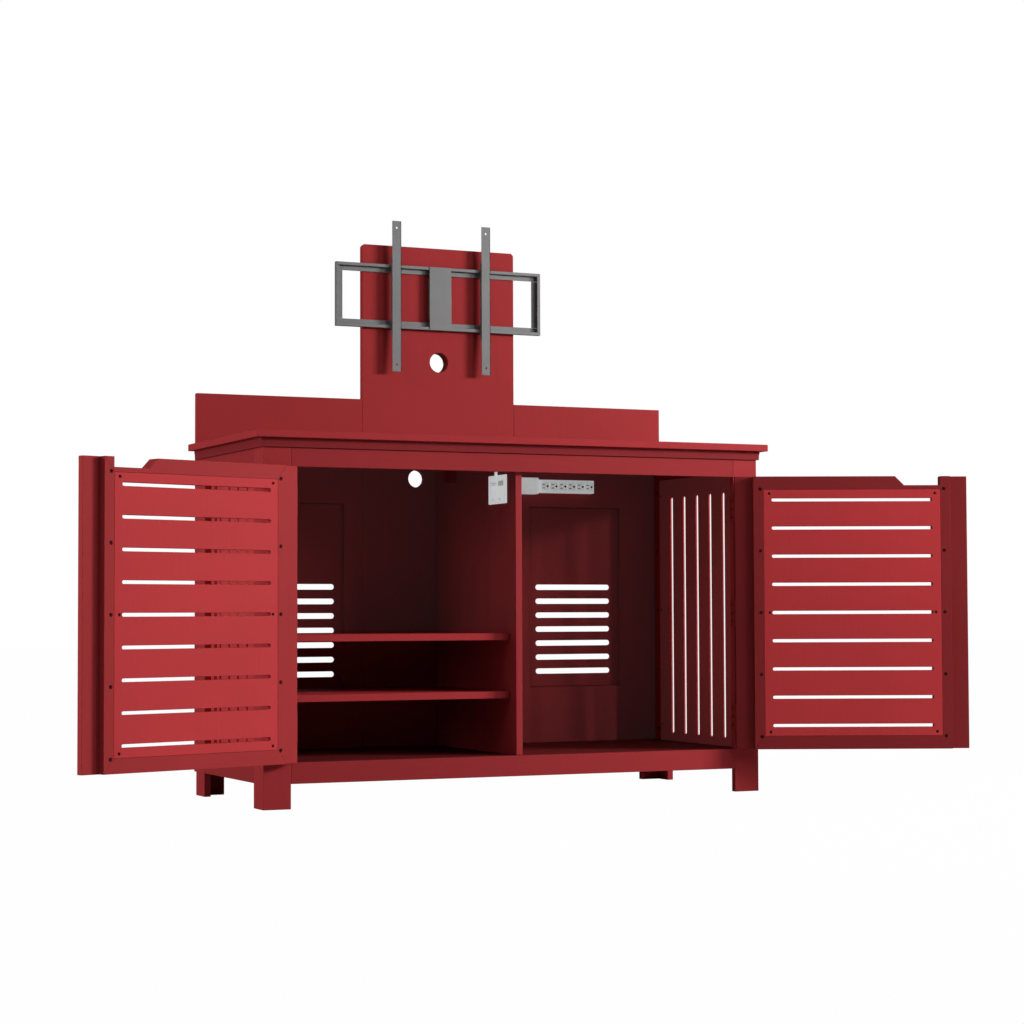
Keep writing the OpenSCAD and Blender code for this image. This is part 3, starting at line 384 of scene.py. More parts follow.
def soft_prism(
    loops: Iterable[Loop], span: Sequence[float], edges: Edges, steps: int = 3
) -> Shape:
    """A flat piece with an outline, holes and rounded edges.

    Ring k of the rounded edge lies at depth arris * (1 - cos t) under the face, and its
    outline is inset by arris * (1 - sin t), with t from 0 at the face to 90 degrees.

    Args:
        loops: The outline and its holes, in any direction of travel.
        span: Where the piece starts and ends in its thickness, in any order.
        edges: The radii of its edges.
        steps: Edges per rounded edge.

    Returns:
        The piece, with points as outline u, outline v and thickness.
    """
    low, high = sorted(span)
    ready: list[Loop] = []
    for loop in by_size(loops):
        loop = without_straight_points(np.asarray(loop, float))
        if (signed_area(loop) > 0) != (not ready):
            loop = loop[::-1]
        ready.append(rounded_corners(loop, edges.turn))
    t = np.arange(steps + 1) / steps * RIGHT_ANGLE if edges.arris > 0 else np.array([RIGHT_ANGLE])
    away, rise = edges.arris * (1 - np.sin(t)), edges.arris * (1 - np.cos(t))
    away, level = [*away, *away[::-1]], [*(low + rise), *(high - rise[::-1])]
    points: list[np.ndarray] = []
    faces: list[list[int]] = []
    smooth: list[bool] = []
    grids: list[np.ndarray] = []
    count = 0
    for loop in ready:
        n = len(loop)
        points += [np.column_stack([inset(loop, a), np.full(n, z)]) for a, z in zip(away, level)]
        faces += ring_quads(len(level), n, count).tolist()
        soft = np.ones((len(level) - 1, n), bool)
        soft[len(t) - 1] = np.roll(edges_into(loop)[1], -1) < SMOOTH_BELOW
        smooth += soft.ravel().tolist()
        grids.append(count + np.arange(len(level) * n).reshape(len(level), n))
        count += len(level) * n
    flat = np.concatenate(points)
    for end in (0, len(level) - 1):
        rings = [[Vector(p) for p in flat[grid[end]] * (1, 1, 0)] for grid in grids]
        index = np.concatenate([grid[end] for grid in grids])
        ids = index[np.array(tessellate_polygon(rings))]
        a, b, c = flat[ids.T, :2]
        area = cross(b - a, c - a)
        turned = (area > 0) != (end > 0)
        ids[turned] = ids[turned, ::-1]
        ids = ids[abs(area) >= NO_AREA]
        faces += ids.tolist()
        smooth += [False] * len(ids)
    return Shape(flat, faces, smooth)


def linked(name: str, data: bpy.types.ID) -> bpy.types.Object:
    """A new object of the scene that shows the data."""
    made = bpy.data.objects.new(name, data)
    bpy.context.scene.collection.objects.link(made)
    return made


def joined(name: str, parts: Parts, place: Placement) -> bpy.types.Object:
    """Makes one mesh object of several shapes, at the origin and unscaled.

    Args:
        name: Its name.
        parts: The shapes, each with its material.
        place: The frame that the shapes are in.

    Returns:
        The object.
    """
    points: list[np.ndarray] = []
    faces: list[list[int]] = []
    smooth: list[bool] = []
    slots: list[int] = []
    materials: list[bpy.types.Material] = []
    count = 0
    for shape, material in parts:
        if material not in materials:
            materials.append(material)
        points.append(shape.points)
        faces += [[i + count for i in face] for face in shape.faces]
        smooth += shape.smooth
        slots += [materials.index(material)] * len(shape.faces)
        count += len(shape.points)
    mesh = bpy.data.meshes.new(name)
    mesh.from_pydata(place.to_row(np.concatenate(points)).tolist(), [], faces)
    for material in materials:
        mesh.materials.append(material)
    mesh.polygons.foreach_set("use_smooth", smooth)
    mesh.polygons.foreach_set("material_index", slots)
    mesh.update()
    return linked(name, mesh)


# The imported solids


@dataclass
class Solid:
    """One closed solid of a CAD node, in the millimetres of a placement."""

    points: np.ndarray
    triangles: np.ndarray

    def __post_init__(self) -> None:
        """Measures its box."""
        self.low, self.high = self.points.min(0), self.points.max(0)
        self.size, self.middle = self.high - self.low, (self.high + self.low) / 2

    def longest(self, among: Sequence[int] = (0, 1, 2)) -> Axis:
        """The axis that it is longest in."""
        return Axis(max(among, key=lambda i: self.size[i]))

    def thinnest(self) -> Axis:
        """The axis that it is shortest in."""
        return Axis(min(range(3), key=lambda i: self.size[i]))

    def span(self, axis: Axis) -> tuple[float, float]:
        """Where it starts and ends along an axis."""
        return self.low[axis.value], self.high[axis.value]

    def end_points(self, axis: Axis, side: Side) -> np.ndarray:
        """Its points at one end of an axis."""
        return self.points[abs(self.points[:, axis.value] - self.span(axis)[side.value]) < LEVEL]

    def levels(self, axis: Axis) -> np.ndarray:
        """The heights along an axis that it has points at."""
        return np.unique(np.round(self.points[:, axis.value], 2))

    def radius_at(self, axis: Axis, side: Side) -> float:
        """The radius of a round solid at one end of its axis."""
        return float(np.ptp(self.end_points(axis, side)[:, axis.outline[0]]) / 2)

    def outline(self, axis: Axis, side: Side) -> list[Loop]:
        """The edge loops of its flat face at one end of an axis.

        An edge of the face's triangles that no second triangle shares is on the outline.
        Such edges are chained end to end.

        Args:
            axis: The face's direction.
            side: Which end the face is at.

        Returns:
            One loop for the outline and one for each hole, as u and v.
        """
        heights = self.points[self.triangles][:, :, axis.value]
        flat = self.triangles[(abs(heights - self.span(axis)[side.value]) < LEVEL).all(1)]
        edges = dict.fromkeys(
            pair for a, b, c in flat.tolist() for pair in ((a, b), (b, c), (c, a))
        )
        ahead = {a: b for a, b in edges if (b, a) not in edges}
        loops = []
        while ahead:
            start, at = next(iter(ahead.items()))
            chain = [start]
            del ahead[start]
            while at != start and at in ahead:
                chain.append(at)
                at = ahead.pop(at)
            if len(chain) > 2:
                loops.append(self.points[chain][:, axis.outline])
        return loops

    def soft(
        self, axis: Axis, side: Side, edges: Edges, span: Optional[tuple[float, float]] = None
    ) -> Shape:
        """Itself as a flat piece with soft edges.

        Args:
            axis: The direction it is thick in.
            side: The end of that axis whose face gives the outline and the holes.
            edges: The radii of its edges.
            span: Where the piece starts and ends, or None for the whole solid.

        Returns:
            The piece.
        """
        return soft_prism(self.outline(axis, side), span or self.span(axis), edges).along(axis)


def solids_of(node: str, place: Placement) -> list[Solid]:
    """Splits a CAD node's mesh into its closed solids.

    Points that lie together are one point. Triangles that share a point belong to one
    solid, found by giving each point the lowest label of its triangles until no label
    changes.

    Args:
        node: The node's name.
        place: The frame that the solids are wanted in.

    Returns:
        The solids, in the order of their lowest corners.
    """
    mesh = frame["nodes"][node].data
    mesh.calc_loop_triangles()
    raw = np.zeros(len(mesh.vertices) * 3, np.float32)
    mesh.vertices.foreach_get("co", raw)
    corners = np.zeros(len(mesh.loop_triangles) * 3, np.int32)
    mesh.loop_triangles.foreach_get("vertices", corners)
    local = place.to_local(raw.reshape(-1, 3).astype(float))
    _, kept, same = np.unique(
        np.round(local / WELD).astype(np.int64), axis=0, return_index=True, return_inverse=True
    )
    points = local[kept]
    triangles = same.reshape(-1)[corners].reshape(-1, 3)
    triangles = triangles[(triangles != np.roll(triangles, -1, axis=1)).all(1)]
    label = np.arange(len(points))
    before = None
    while before is None or (label != before).any():
        lowest = label[triangles].min(1)
        before = label.copy()
        for k in range(3):
            np.minimum.at(label, triangles[:, k], lowest)
        label = label[label]
    found = []
    for name in np.unique(label[triangles[:, 0]]):
        own = triangles[label[triangles[:, 0]] == name]
        used, compact = np.unique(own, return_inverse=True)
        found.append(Solid(points[used], compact.reshape(-1, 3)))
    return sorted(found, key=lambda s: tuple(np.round(s.low, 1)))


# Shader maths


class Socket:
    """A shader value that takes part in arithmetic, each step being one Math node."""

    def __init__(self, graph: "Graph", output: bpy.types.NodeSocket) -> None:
        """Holds an output of one of the graph's nodes."""
        self.graph = graph
        self.output = output

    def _math(self, operation: str, *values: "Socket | float") -> "Socket":
        """One Math node."""
        settings = {"operation": operation}
        return self.graph.node("ShaderNodeMath", settings, dict(enumerate(values)))

    def __add__(self, other: "Socket | float") -> "Socket":
        """self + other."""
        return self._math("ADD", self, other)

    def __radd__(self, other: float) -> "Socket":
        """other + self."""
        return self._math("ADD", other, self)

    def __sub__(self, other: "Socket | float") -> "Socket":
        """self - other."""
        return self._math("SUBTRACT", self, other)

    def __rsub__(self, other: float) -> "Socket":
        """other - self."""
        return self._math("SUBTRACT", other, self)

    def __mul__(self, other: "Socket | float") -> "Socket":
        """self * other."""
        return self._math("MULTIPLY", self, other)

    __rmul__ = __mul__

    def above(self, level: float, softness: float) -> "Socket":
        """0 below level and 1 above it, with a smooth step between."""
        return self.graph.node(
            "ShaderNodeMapRange", {"interpolation_type": "SMOOTHSTEP"},
            {"Value": self, "From Min": level - softness, "From Max": level + softness},
        )


class Graph:
    """The node tree of a material or of the world, written as function calls."""

    def __init__(self, owner: bpy.types.ID) -> None:
        """Empties the owner's node tree."""
        owner.use_nodes = True
        self.tree = owner.node_tree
        self.tree.nodes.clear()

    def node(
        self,
        kind: str,
        settings: Optional[dict] = None,
        inputs: Optional[dict] = None,
        output: int | str = 0,
    ) -> Socket:
        """Adds a node of any kind.

        Args:
            kind: The node's type name.
            settings: Attributes to set on it.
            inputs: Values or sockets for its inputs, by name or number.
            output: The output that is wanted, by name or number.

        Returns:
            The wanted output.
        """
        made = self.tree.nodes.new(kind)
        for name, value in (settings or {}).items():
            setattr(made, name, value)
        for name, value in (inputs or {}).items():
            if isinstance(value, Socket):
                self.tree.links.new(value.output, made.inputs[name])
            else:
                made.inputs[name].default_value = value
        return Socket(self, made.outputs[output])

    def place(self, scale: Sequence[float], turn: float = 0.0) -> Socket:
        """Object coordinates, turned back by a door's angle and scaled.

        Args:
            scale: The factors in x, y and z.
            turn: The door's angle in degrees.

        Returns:
            The coordinates.
        """
        here = self.node("ShaderNodeTexCoord", output="Object")
        if turn:
            here = self.node(
                "ShaderNodeVectorRotate", {"rotation_type": "Z_AXIS"},
                {"Vector": here, "Angle": radians(-turn)},
            )
        return self.node(
            "ShaderNodeVectorMath", {"operation": "MULTIPLY"}, {0: here, 1: tuple(scale)}
        )

    def noise(self, at: Socket, detail: float, rough: float = 0.5) -> Socket:
        """Fractal noise from 0 to 1."""
        inputs = {"Vector": at, "Scale": 1.0, "Detail": detail, "Roughness": rough}
        return self.node("ShaderNodeTexNoise", None, inputs)

    def tint(self, dark: Colour, light: Colour, share: Socket) -> Socket:
        """A colour between two, by a share from 0 to 1."""
        inputs = {0: share, 6: (*dark, 1.0), 7: (*light, 1.0)}
        return self.node("ShaderNodeMix", {"data_type": "RGBA"}, inputs, 2)

    def bump(self, height: Socket, depth_mm: float, strength: float) -> Socket:
        """A normal from a height."""
        inputs = {"Height": height, "Distance": depth_mm * MM, "Strength": strength}
        return self.node("ShaderNodeBump", None, inputs)

    def surface(self, **values: "Socket | float | Colour") -> None:
        """Ends a material with a Principled BSDF; underscores stand for spaces."""
        inputs = {
            name.replace("_", " "): (*value, 1.0) if isinstance(value, tuple) else value
            for name, value in values.items()
        }
        self.end(self.node("ShaderNodeBsdfPrincipled", None, inputs))

    def end(self, shader: Socket, kind: str = "ShaderNodeOutputMaterial") -> None:
        """Links a shader to the output."""
        out = self.tree.nodes.new(kind)
        self.tree.links.new(shader.output, out.inputs["Surface"])


def linear(red: int, green: int, blue: int) -> Colour:
    """An sRGB colour from 0 to 255 as linear light: c / 12.92 or ((c + 0.055) / 1.055) ** 2.4."""

    def one(value: int) -> float:
        """One channel."""
        c = value / 255
        return c / 12.92 if c <= 0.04045 else ((c + 0.055) / 1.055) ** 2.4

    return one(red), one(green), one(blue)


def scaled(colour: Colour, factor: float) -> Colour:
    """A colour made lighter or darker."""
    return colour[0] * factor, colour[1] * factor, colour[2] * factor


# Finishes


@dataclass(frozen=True)
class Finish:
    """What all finishes have.

    Attributes:
        name: The material's name.
        colour: Its middle colour, linear.
        slot: The record's material slot.
        spread: How far the colour wanders to both sides, as a share.
        clouds: The clouds' part in that, the rest being the fine pattern's.
        blur: How softly it goes from the dark tone to the light one.
        rough: Its roughness.
        rough_start: How far below that the roughness starts.
        shine: Its specular level.
        relief: The strength of its bumps.
    """

    name: str
    colour: Colour
    slot: str = "frame_board"
    spread: float = 0.05
    clouds: float = 0.55
    blur: float = 0.22
    rough: float = 0.56
    rough_start: float = 0.06
    shine: float = 0.03
    relief: float = 0.5

    def material(self, grain: Optional[Axis] = None, turn: float = 0.0) -> bpy.types.Material:
        """The material for boards with their length along an axis of a turned frame."""
        raise NotImplementedError

    def shade(self, g: Graph, fine: Socket, cloud: Socket) -> Socket:
        """The colour, which goes from dark to light with a fine pattern and the clouds.

        Args:
            g: The material's node tree.
            fine: The fine pattern, from 0 to 1.
            cloud: The clouds, from 0 to 1.

        Returns:
            The colour.
        """
        share = (fine * (1 - self.clouds) + cloud * self.clouds).above(0.5, self.blur)
        dark, light = scaled(self.colour, 1 - self.spread), scaled(self.colour, 1 + self.spread)
        return g.tint(dark, light, share)

    @staticmethod
    def once(title: str, dress: Callable[[Graph], None]) -> bpy.types.Material:
        """A material that is made on its first use.

        Args:
            title: Its name.
            dress: Fills its node tree.

        Returns:
            The material.
        """
        known = bpy.data.materials.get(title)
        if known:
            return known
        material = bpy.data.materials.new(title)
        dress(Graph(material))
        return material


@dataclass(frozen=True)
class BoardFinish(Finish):
    """Dyed board with a faint grain along its length.

    Attributes:
        rough_cloud: How far the roughness wanders in large patches.
        rough_fibre: How far it wanders from fibre to fibre.
        grain_mm: The depth of the grain.
        fibre_waves: The fibres' fineness across the grain, in waves per metre.
        along_waves: Their fineness along it.
        cloud_waves: The clouds' fineness.
        speck_waves: The specks' fineness.
        speck_share: Their part in the relief.
        painted_fill_glow: Painted light: a faint glow that it gives off inside the bays in place
            of fill light, linear.
        shelf_z: The upper shelf's height, in metres.
        divider_x: The divider's middle, in metres.
        worktop_z: The worktop's underside, in metres.
        fade: How softly the painted glow starts above the shelf, in metres.
        edge: How softly it ends at the divider and the worktop.
    """

    rough_cloud: float = 0.08
    rough_fibre: float = 0.05
    grain_mm: float = 0.05
    fibre_waves: float = 260.0
    along_waves: float = 9.0
    cloud_waves: float = 3.1
    speck_waves: float = 900.0
    speck_share: float = 0.3
    # Painted light: the colour of a glow inside the bays, standing in for fill light.
    painted_fill_glow: Colour = (0.0, 0.0, 0.0)
    shelf_z: float = 0.452
    divider_x: float = 0.008
    worktop_z: float = 0.959
    fade: float = 0.02
    edge: float = 0.002

    def painted_glow_mask(self, g: Graph) -> Socket:
        """The mask of the painted glow: 1 inside the bays, but 0 below the upper shelf in the
        left one.

        The share is (1 - (1 - above the shelf) (1 - right of the divider)) times
        (1 - above the worktop).

        Args:
            g: The material's node tree.

        Returns:
            The share.
        """
        here = g.place((1.0, 1.0, 1.0))
        across, up = (g.node("ShaderNodeSeparateXYZ", None, {0: here}, name) for name in "XZ")
        low, left = up.above(self.shelf_z, self.fade), across.above(self.divider_x, self.edge)
        lit = 1.0 - (1.0 - low) * (1.0 - left)
        return lit * (1.0 - up.above(self.worktop_z, self.edge))

    def material(self, grain: Axis, turn: float = 0.0) -> bpy.types.Material:
        """The material for boards with their length along an axis of a turned frame."""
        title = f"{self.name}_{grain.name.lower()}_{round(turn)}"
        return self.once(title, lambda g: self.dress(g, grain, turn))

    def dress(self, g: Graph, grain: Axis, turn: float) -> None:
        """Fills the node tree: fibres drawn out along the grain, clouds and specks.

        Args:
            g: The material's node tree.
            grain: The direction of the boards' length.
            turn: The turn of their frame in degrees.
        """
        fine = [self.fibre_waves] * 3
        fine[grain.value] = self.along_waves
        fibre = g.noise(g.place(fine, turn), detail=4.0, rough=0.6)
        cloud = g.noise(g.place([self.cloud_waves] * 3, turn), detail=2.0, rough=0.45)
        speck = g.noise(g.place([self.speck_waves] * 3, turn), detail=1.0)
        relief = fibre * (1 - self.speck_share) + speck * self.speck_share
        rough = cloud * self.rough_cloud + fibre * self.rough_fibre
        painted_glow_inputs = {}
        # Painted light: a faint glow inside the bays, in place of fill light.
        if any(self.painted_fill_glow):
            glow = g.tint((0.0, 0.0, 0.0), self.painted_fill_glow, self.painted_glow_mask(g))
            painted_glow_inputs = {"Emission_Strength": 1.0, "Emission_Color": glow}
        g.surface(
            Base_Color=self.shade(g, fibre, cloud),
            Roughness=rough + (self.rough - self.rough_start),
            Specular_IOR_Level=self.shine,
            Normal=g.bump(relief, self.grain_mm, self.relief),
            **painted_glow_inputs,
        )


@dataclass(frozen=True)
class CoatFinish(Finish):
    """Powder coat or enamel on metal, or moulded plastic, with a fine orange peel.

    Attributes:
        metallic: 1 for bare metal.
        rough_cloud: How far the roughness wanders.
        peel_mm: The depth of the orange peel.
        peel_waves: Its fineness, in waves per metre.
        cloud_waves: The fineness of the clouds.
        glow: Painted light: how much light it gives off in its own colour, though it is no lamp.
    """

    slot: str = "mount_steel"
    spread: float = 0.06
    clouds: float = 0.7
    blur: float = 0.2
    rough: float = 0.42
    shine: float = 0.3
    relief: float = 0.6
    metallic: float = 0.0
    rough_cloud: float = 0.12
    peel_mm: float = 0.03
    peel_waves: float = 700.0
    cloud_waves: float = 14.0
    glow: float = 0.0

    def material(self, grain: Optional[Axis] = None, turn: float = 0.0) -> bpy.types.Material:
        """The material, which is the same for every grain and turn."""
        return self.once(f"{self.name}_look", self.dress)

    def dress(self, g: Graph) -> None:
        """Fills the node tree with the orange peel and clouds."""
        peel = g.noise(g.place([self.peel_waves] * 3), detail=2.0)
        cloud = g.noise(g.place([self.cloud_waves] * 3), detail=2.0)
        shade = self.shade(g, peel, cloud)
        # Painted light: a glow in its own colour, though it is no lamp.
        light = {"Emission_Strength": self.glow, "Emission_Color": shade} if self.glow else {}
        g.surface(
            Base_Color=shade,
            Roughness=cloud * self.rough_cloud + (self.rough - self.rough_start),
            Metallic=self.metallic,
            Specular_IOR_Level=self.shine,
            Normal=g.bump(peel, self.peel_mm, self.relief),
            **light,
        )


DOOR_PANEL = BoardFinish("door_board", linear(171, 52, 55), "panel_board")
# Painted light: the back boards glow faintly inside the bays.
PANEL = BoardFinish(
    "panel_board", linear(143, 43, 45), "panel_board", painted_fill_glow=(0.002, 0.0038, 0.004)
)
# Painted light: the side panels glow faintly inside the bays.
SIDE_PANEL = BoardFinish(
    "side_board", linear(168, 52, 54), "panel_board", painted_fill_glow=(0.008, 0.0055, 0.0055)
)
TOP = BoardFinish("top_board", linear(150, 45, 48), "panel_board")
# Painted shade: the floor board is much darker than the other boards, for the shade inside the
# bays.
FLOOR_PAINTED_SHADE = BoardFinish("floor_board", linear(92, 28, 29), "panel_board")
FRAME = BoardFinish("frame_board", linear(137, 41, 44))
# Painted light: the legs are lighter than the frame boards, for the light that falls on them.
LEG_PAINTED_LIGHT = BoardFinish("leg_board", linear(146, 44, 47))
# Painted light: the divider glows faintly inside the bays.
DIVIDER = BoardFinish("divider_board", linear(143, 43, 46), painted_fill_glow=(0.0, 0.003, 0.003))
# Painted shade: the moulding is darker than the frame boards, for the shadow under the worktop's
# overhang.
MOULDING_PAINTED_SHADE = BoardFinish("moulding_board", linear(119, 35, 38))
DOOR_FRAME = BoardFinish("door_frame_board", linear(147, 45, 47))
# Painted shade: a darker copy of the door frame's finish for the right door, which faces away
# from the key light.
DOOR_FRAME_PAINTED_SHADE = BoardFinish("shaded_board", linear(120, 36, 38))
STEEL = CoatFinish("mount_steel", linear(104, 104, 104))
BOLT = CoatFinish("mount_bolt", linear(90, 90, 92), metallic=0.6, rough=0.35)
SCREW = CoatFinish("dark_screw", linear(62, 18, 20), "dark_screw", rough=0.7, shine=0.05)
HINGE = CoatFinish("hinge_paint", linear(136, 38, 41), "hinge_paint", rough=0.56, shine=0.05)
PIN = CoatFinish("pin_paint", linear(110, 32, 34), "pin_steel", rough=0.5)
# Painted light: the power strip, its sockets, the control box, its marks and its window glow in
# their own colours, though none is a lamp.
STRIP = CoatFinish("strip_case", linear(228, 241, 240), "strip_case", rough=0.45, glow=0.34)
SOCKET = CoatFinish(
    "strip_socket", linear(222, 235, 234), "strip_socket", rough=0.5, peel_mm=0.01, glow=0.3
)
CASE = CoatFinish(
    "box_case", linear(232, 244, 244), "box_case", rough=0.45, peel_mm=0.01, glow=0.5
)
MARK = CoatFinish("box_mark", linear(176, 182, 184), "strip_socket", rough=0.5, glow=0.4)
WINDOW = CoatFinish("box_window", linear(176, 190, 178), "strip_socket", rough=0.4, glow=0.45)
# Painted shade: dark sheets in the socket slits, where the hollows behind them are in shade.
SLIT_PAINTED_SHADE = CoatFinish("socket_slit", linear(14, 14, 14), "dark_screw", rough=0.8, shine=0.0)


# Sub-assemblies


@dataclass(frozen=True)
class ScrewHead:
    """How a screw's head and shank are finished.

    Attributes:
        recess_share: The drive recess's radius as a share of the head's.
        recess_depth: How deep the recess is.
        lobes: The lobes of the recess.
        lobe_dip: The depth of its hollows as a share of its radius.
        arris: The rounding of the head's edge.
        floor_t: The thickness of the disc that closes the recess.
        floor_share: The disc's radius as a share of the head's.
        floor_arris: The rounding of the disc's edge.
        shank_arris: The rounding of the shank's edge.
        shank_sides: The points round the shank.
    """

    recess_share: float = 0.56
    recess_depth: float = 1.3
    lobes: int = 6
    lobe_dip: float = 0.3
    arris: float = 0.45
    floor_t: float = 0.9
    floor_share: float = 0.94
    floor_arris: float = 0.1
    shank_arris: float = 0.2
    shank_sides: int = 16

    def shapes(self, solid: Solid) -> Iterator[Shape]:
        """The head with its recess, the disc under it and the shank.

        The screw runs along the solid's longest axis, and the head is at the end with the
        larger radius.

        Args:
            solid: The CAD screw.

        Yields:
            Each shape.
        """
        axis = solid.longest()
        ends = {side: solid.radius_at(axis, side) for side in Side}
        top = max(Side, key=ends.get)
        head, shank = ends[top], ends[top.other]
        face, tip = solid.span(axis)[top.value], solid.span(axis)[top.other.value]
        inwards = -1 if top is Side.HIGH else 1
        floor = face + inwards * self.recess_depth
        under = floor + inwards * self.floor_t
        at = solid.middle[list(axis.outline)]
        recess = circle(
            *at, head * self.recess_share, self.lobes * 6, self.lobe_dip, self.lobes
        )
        for loops, span, arris, steps in (
            ([circle(*at, head), recess], (face, floor), self.arris, 2),
            ([circle(*at, head * self.floor_share)], (floor, under), self.floor_arris, 1),
            ([circle(*at, shank, self.shank_sides)], (floor, tip), self.shank_arris, 1),
        ):
            yield soft_prism(loops, span, Edges(arris, 0.0), steps).along(axis)


@dataclass
class Assembly:
    """A group of pieces that ride on one CAD body.

    Attributes:
        place: The frame that its solids are read in.
        body: The body that the pieces ride on.
        made: The pieces made so far.
    """

    place: Placement
    body: str = "cabinet"
    made: list[bpy.types.Object] = field(default_factory=list, init=False)

    def build(self) -> None:
        """Makes all its pieces."""
        raise NotImplementedError

    def solids(self, node: str) -> list[Solid]:
        """A CAD node's solids in its own frame."""
        return solids_of(node, self.place)

    def add(self, name: str, slot: str, parts: Parts, *nodes: str) -> None:
        """Makes one piece that rides on the body and stands for its CAD nodes.

        Args:
            name: The piece's name.
            slot: The record's material slot; not used.
            parts: Its shapes, each with its material.
            nodes: The CAD nodes that it stands for.
        """
        piece = joined(name, parts, self.place)
        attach(piece, self.body)
        if nodes:
            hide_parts(*nodes)
        self.made.append(piece)

    def stand_in(self, node: str, slot: str, parts: Parts) -> None:
        """Makes the piece that stands for one CAD node."""
        self.add(f"{node}_soft", slot, parts, node)

    def flats(
        self,
        node: str,
        finish: Finish,
        axis: Optional[Axis] = None,
        side: Side = Side.LOW,
        edges: Edges = Edges(),
    ) -> None:
        """Rebuilds a node's boards or strips as flat pieces with soft edges.

        Args:
            node: The CAD node.
            finish: Their finish, whose grain follows each board's length.
            axis: The direction they are thick in, or None for each one's thinnest.
            side: The end of that axis whose face gives the outline and the holes.
            edges: The radii of their edges.
        """
        parts = []
        for solid in self.solids(node):
            thick = axis or solid.thinnest()
            grain = solid.longest(thick.outline)
            material = finish.material(grain, self.place.degrees)
            parts.append((solid.soft(thick, side, edges), material))
        self.stand_in(node, finish.slot, parts)

    def coated(
        self, node: str, finish: CoatFinish, rebuild: Callable[[Solid], Iterable[Shape]]
    ) -> None:
        """Rebuilds each of a node's solids as shapes in one finish.

        Args:
            node: The CAD node.
            finish: The finish.
            rebuild: Gives the shapes for a solid.
        """
        shapes = (shape for solid in self.solids(node) for shape in rebuild(solid))
        self.stand_in(node, finish.slot, [(shape, finish.material()) for shape in shapes])

    def screws(self, node: str) -> None:
        """Rebuilds a node's screws with rounded heads and drive recesses."""
        self.coated(node, SCREW, ScrewHead().shapes)

    def colour_cad(self, node: str, finish: CoatFinish) -> None:
        """Gives a CAD node that stays as it is a finish."""
        mesh = frame["nodes"][node].data
        mesh.materials.clear()
        mesh.materials.append(finish.material())


@dataclass
class Carcass(Assembly):
    """Legs, rails, side panels, floor and divider.

    Attributes:
        web: Thickness of the side panels' slotted part.
        arris: Rounding of the side panels' and the battens' edges.
    """

    web: float = 5.0
    arris: float = 0.8

    def build(self) -> None:
        """Makes all its pieces."""
        # Painted light: the legs get a lighter copy of the board colour.
        for node in (
            "front_left_leg_face", "front_left_leg_side", "front_right_leg_face",
            "front_right_leg_side", "rear_left_leg_side", "rear_right_leg_side",
            "rear_leg_faces",
        ):
            self.flats(node, LEG_PAINTED_LIGHT)
        for node in (
            "front_top_rail", "front_bottom_rail", "rear_rails", "side_top_rails",
            "side_bottom_rails",
        ):
            self.flats(node, FRAME)
        # Painted shade: the floor board's darker finish stands in for the shade in the bays.
        self.flats("floor_board", FLOOR_PAINTED_SHADE)
        self.flats("divider", DIVIDER, Axis.X, Side.HIGH)
        self.flats("worktop_cleats", FRAME, Axis.X)
        self.side_panel(Hand.LEFT, Side.HIGH)
        self.side_panel(Hand.RIGHT, Side.LOW)
        self.battens()

    def side_panel(self, hand: Hand, side: Side) -> None:
        """A panel whose outer face has a pocket that leaves a thin slotted web.

        The web is one flat piece with the inner face's outline and slots. The rim round the
        pocket is a second one behind it.

        Args:
            hand: Which panel it is.
            side: The end of X that the web is flush with.
        """
        node = f"{hand.value}_side_panel"
        solid = self.solids(node)[0]
        near, far = solid.span(Axis.X)[side.value], solid.span(Axis.X)[side.other.value]
        web = min(solid.levels(Axis.X), key=lambda x: abs(abs(x - near) - self.web))
        face, rear = (solid.outline(Axis.X, end) for end in (side, side.other))
        shapes = (
            soft_prism(face, (web, near), Edges(self.arris, self.arris)),
            soft_prism(by_size(rear)[:2], (far, web), Edges(0.0, self.arris)),
        )
        material = SIDE_PANEL.material(Axis.Z)
        parts = [(shape.along(Axis.X), material) for shape in shapes]
        self.stand_in(node, SIDE_PANEL.slot, parts)

    def battens(self) -> None:
        """The battens that clamp the side panels, with their screw holes inside."""
        middle = self.solids("floor_board")[0].middle[0]
        parts = []
        for solid in self.solids("side_battens"):
            inside = Side.HIGH if solid.middle[0] < middle else Side.LOW
            material = FRAME.material(solid.longest(Axis.X.outline))
            parts.append((solid.soft(Axis.X, inside, Edges(self.arris, 0.0)), material))
        self.stand_in("side_battens", FRAME.slot, parts)


@dataclass
class Shelving(Assembly):
    """The two shelves and their pins.

    Attributes:
        edges: Radii of the shelves' edges.
        tip: Length of a pin's bevelled tip.
        tip_share: The tip's radius as a share of the pin's.
        sides: The points round a pin.
    """

    edges: Edges = Edges(1.4, 6.0)
    tip: float = 0.8
    tip_share: float = 0.7
    sides: int = 16

    def build(self) -> None:
        """Makes all its pieces."""
        for node in ("upper_shelf", "lower_shelf"):
            self.flats(node, TOP, Axis.Z, Side.HIGH, self.edges)
        self.coated("shelf_pins", PIN, self.pin)

    def pin(self, solid: Solid) -> Iterator[Shape]:
        """A pin along X with bevelled tips."""
        r = solid.size[1] / 2
        low, high = solid.span(Axis.X)
        profile = [
            (r * self.tip_share, low), (r, low + self.tip), (r, high - self.tip),
            (r * self.tip_share, high),
        ]
        yield turned_solid(profile, self.sides).along(Axis.X, (0, *solid.middle[1:]))


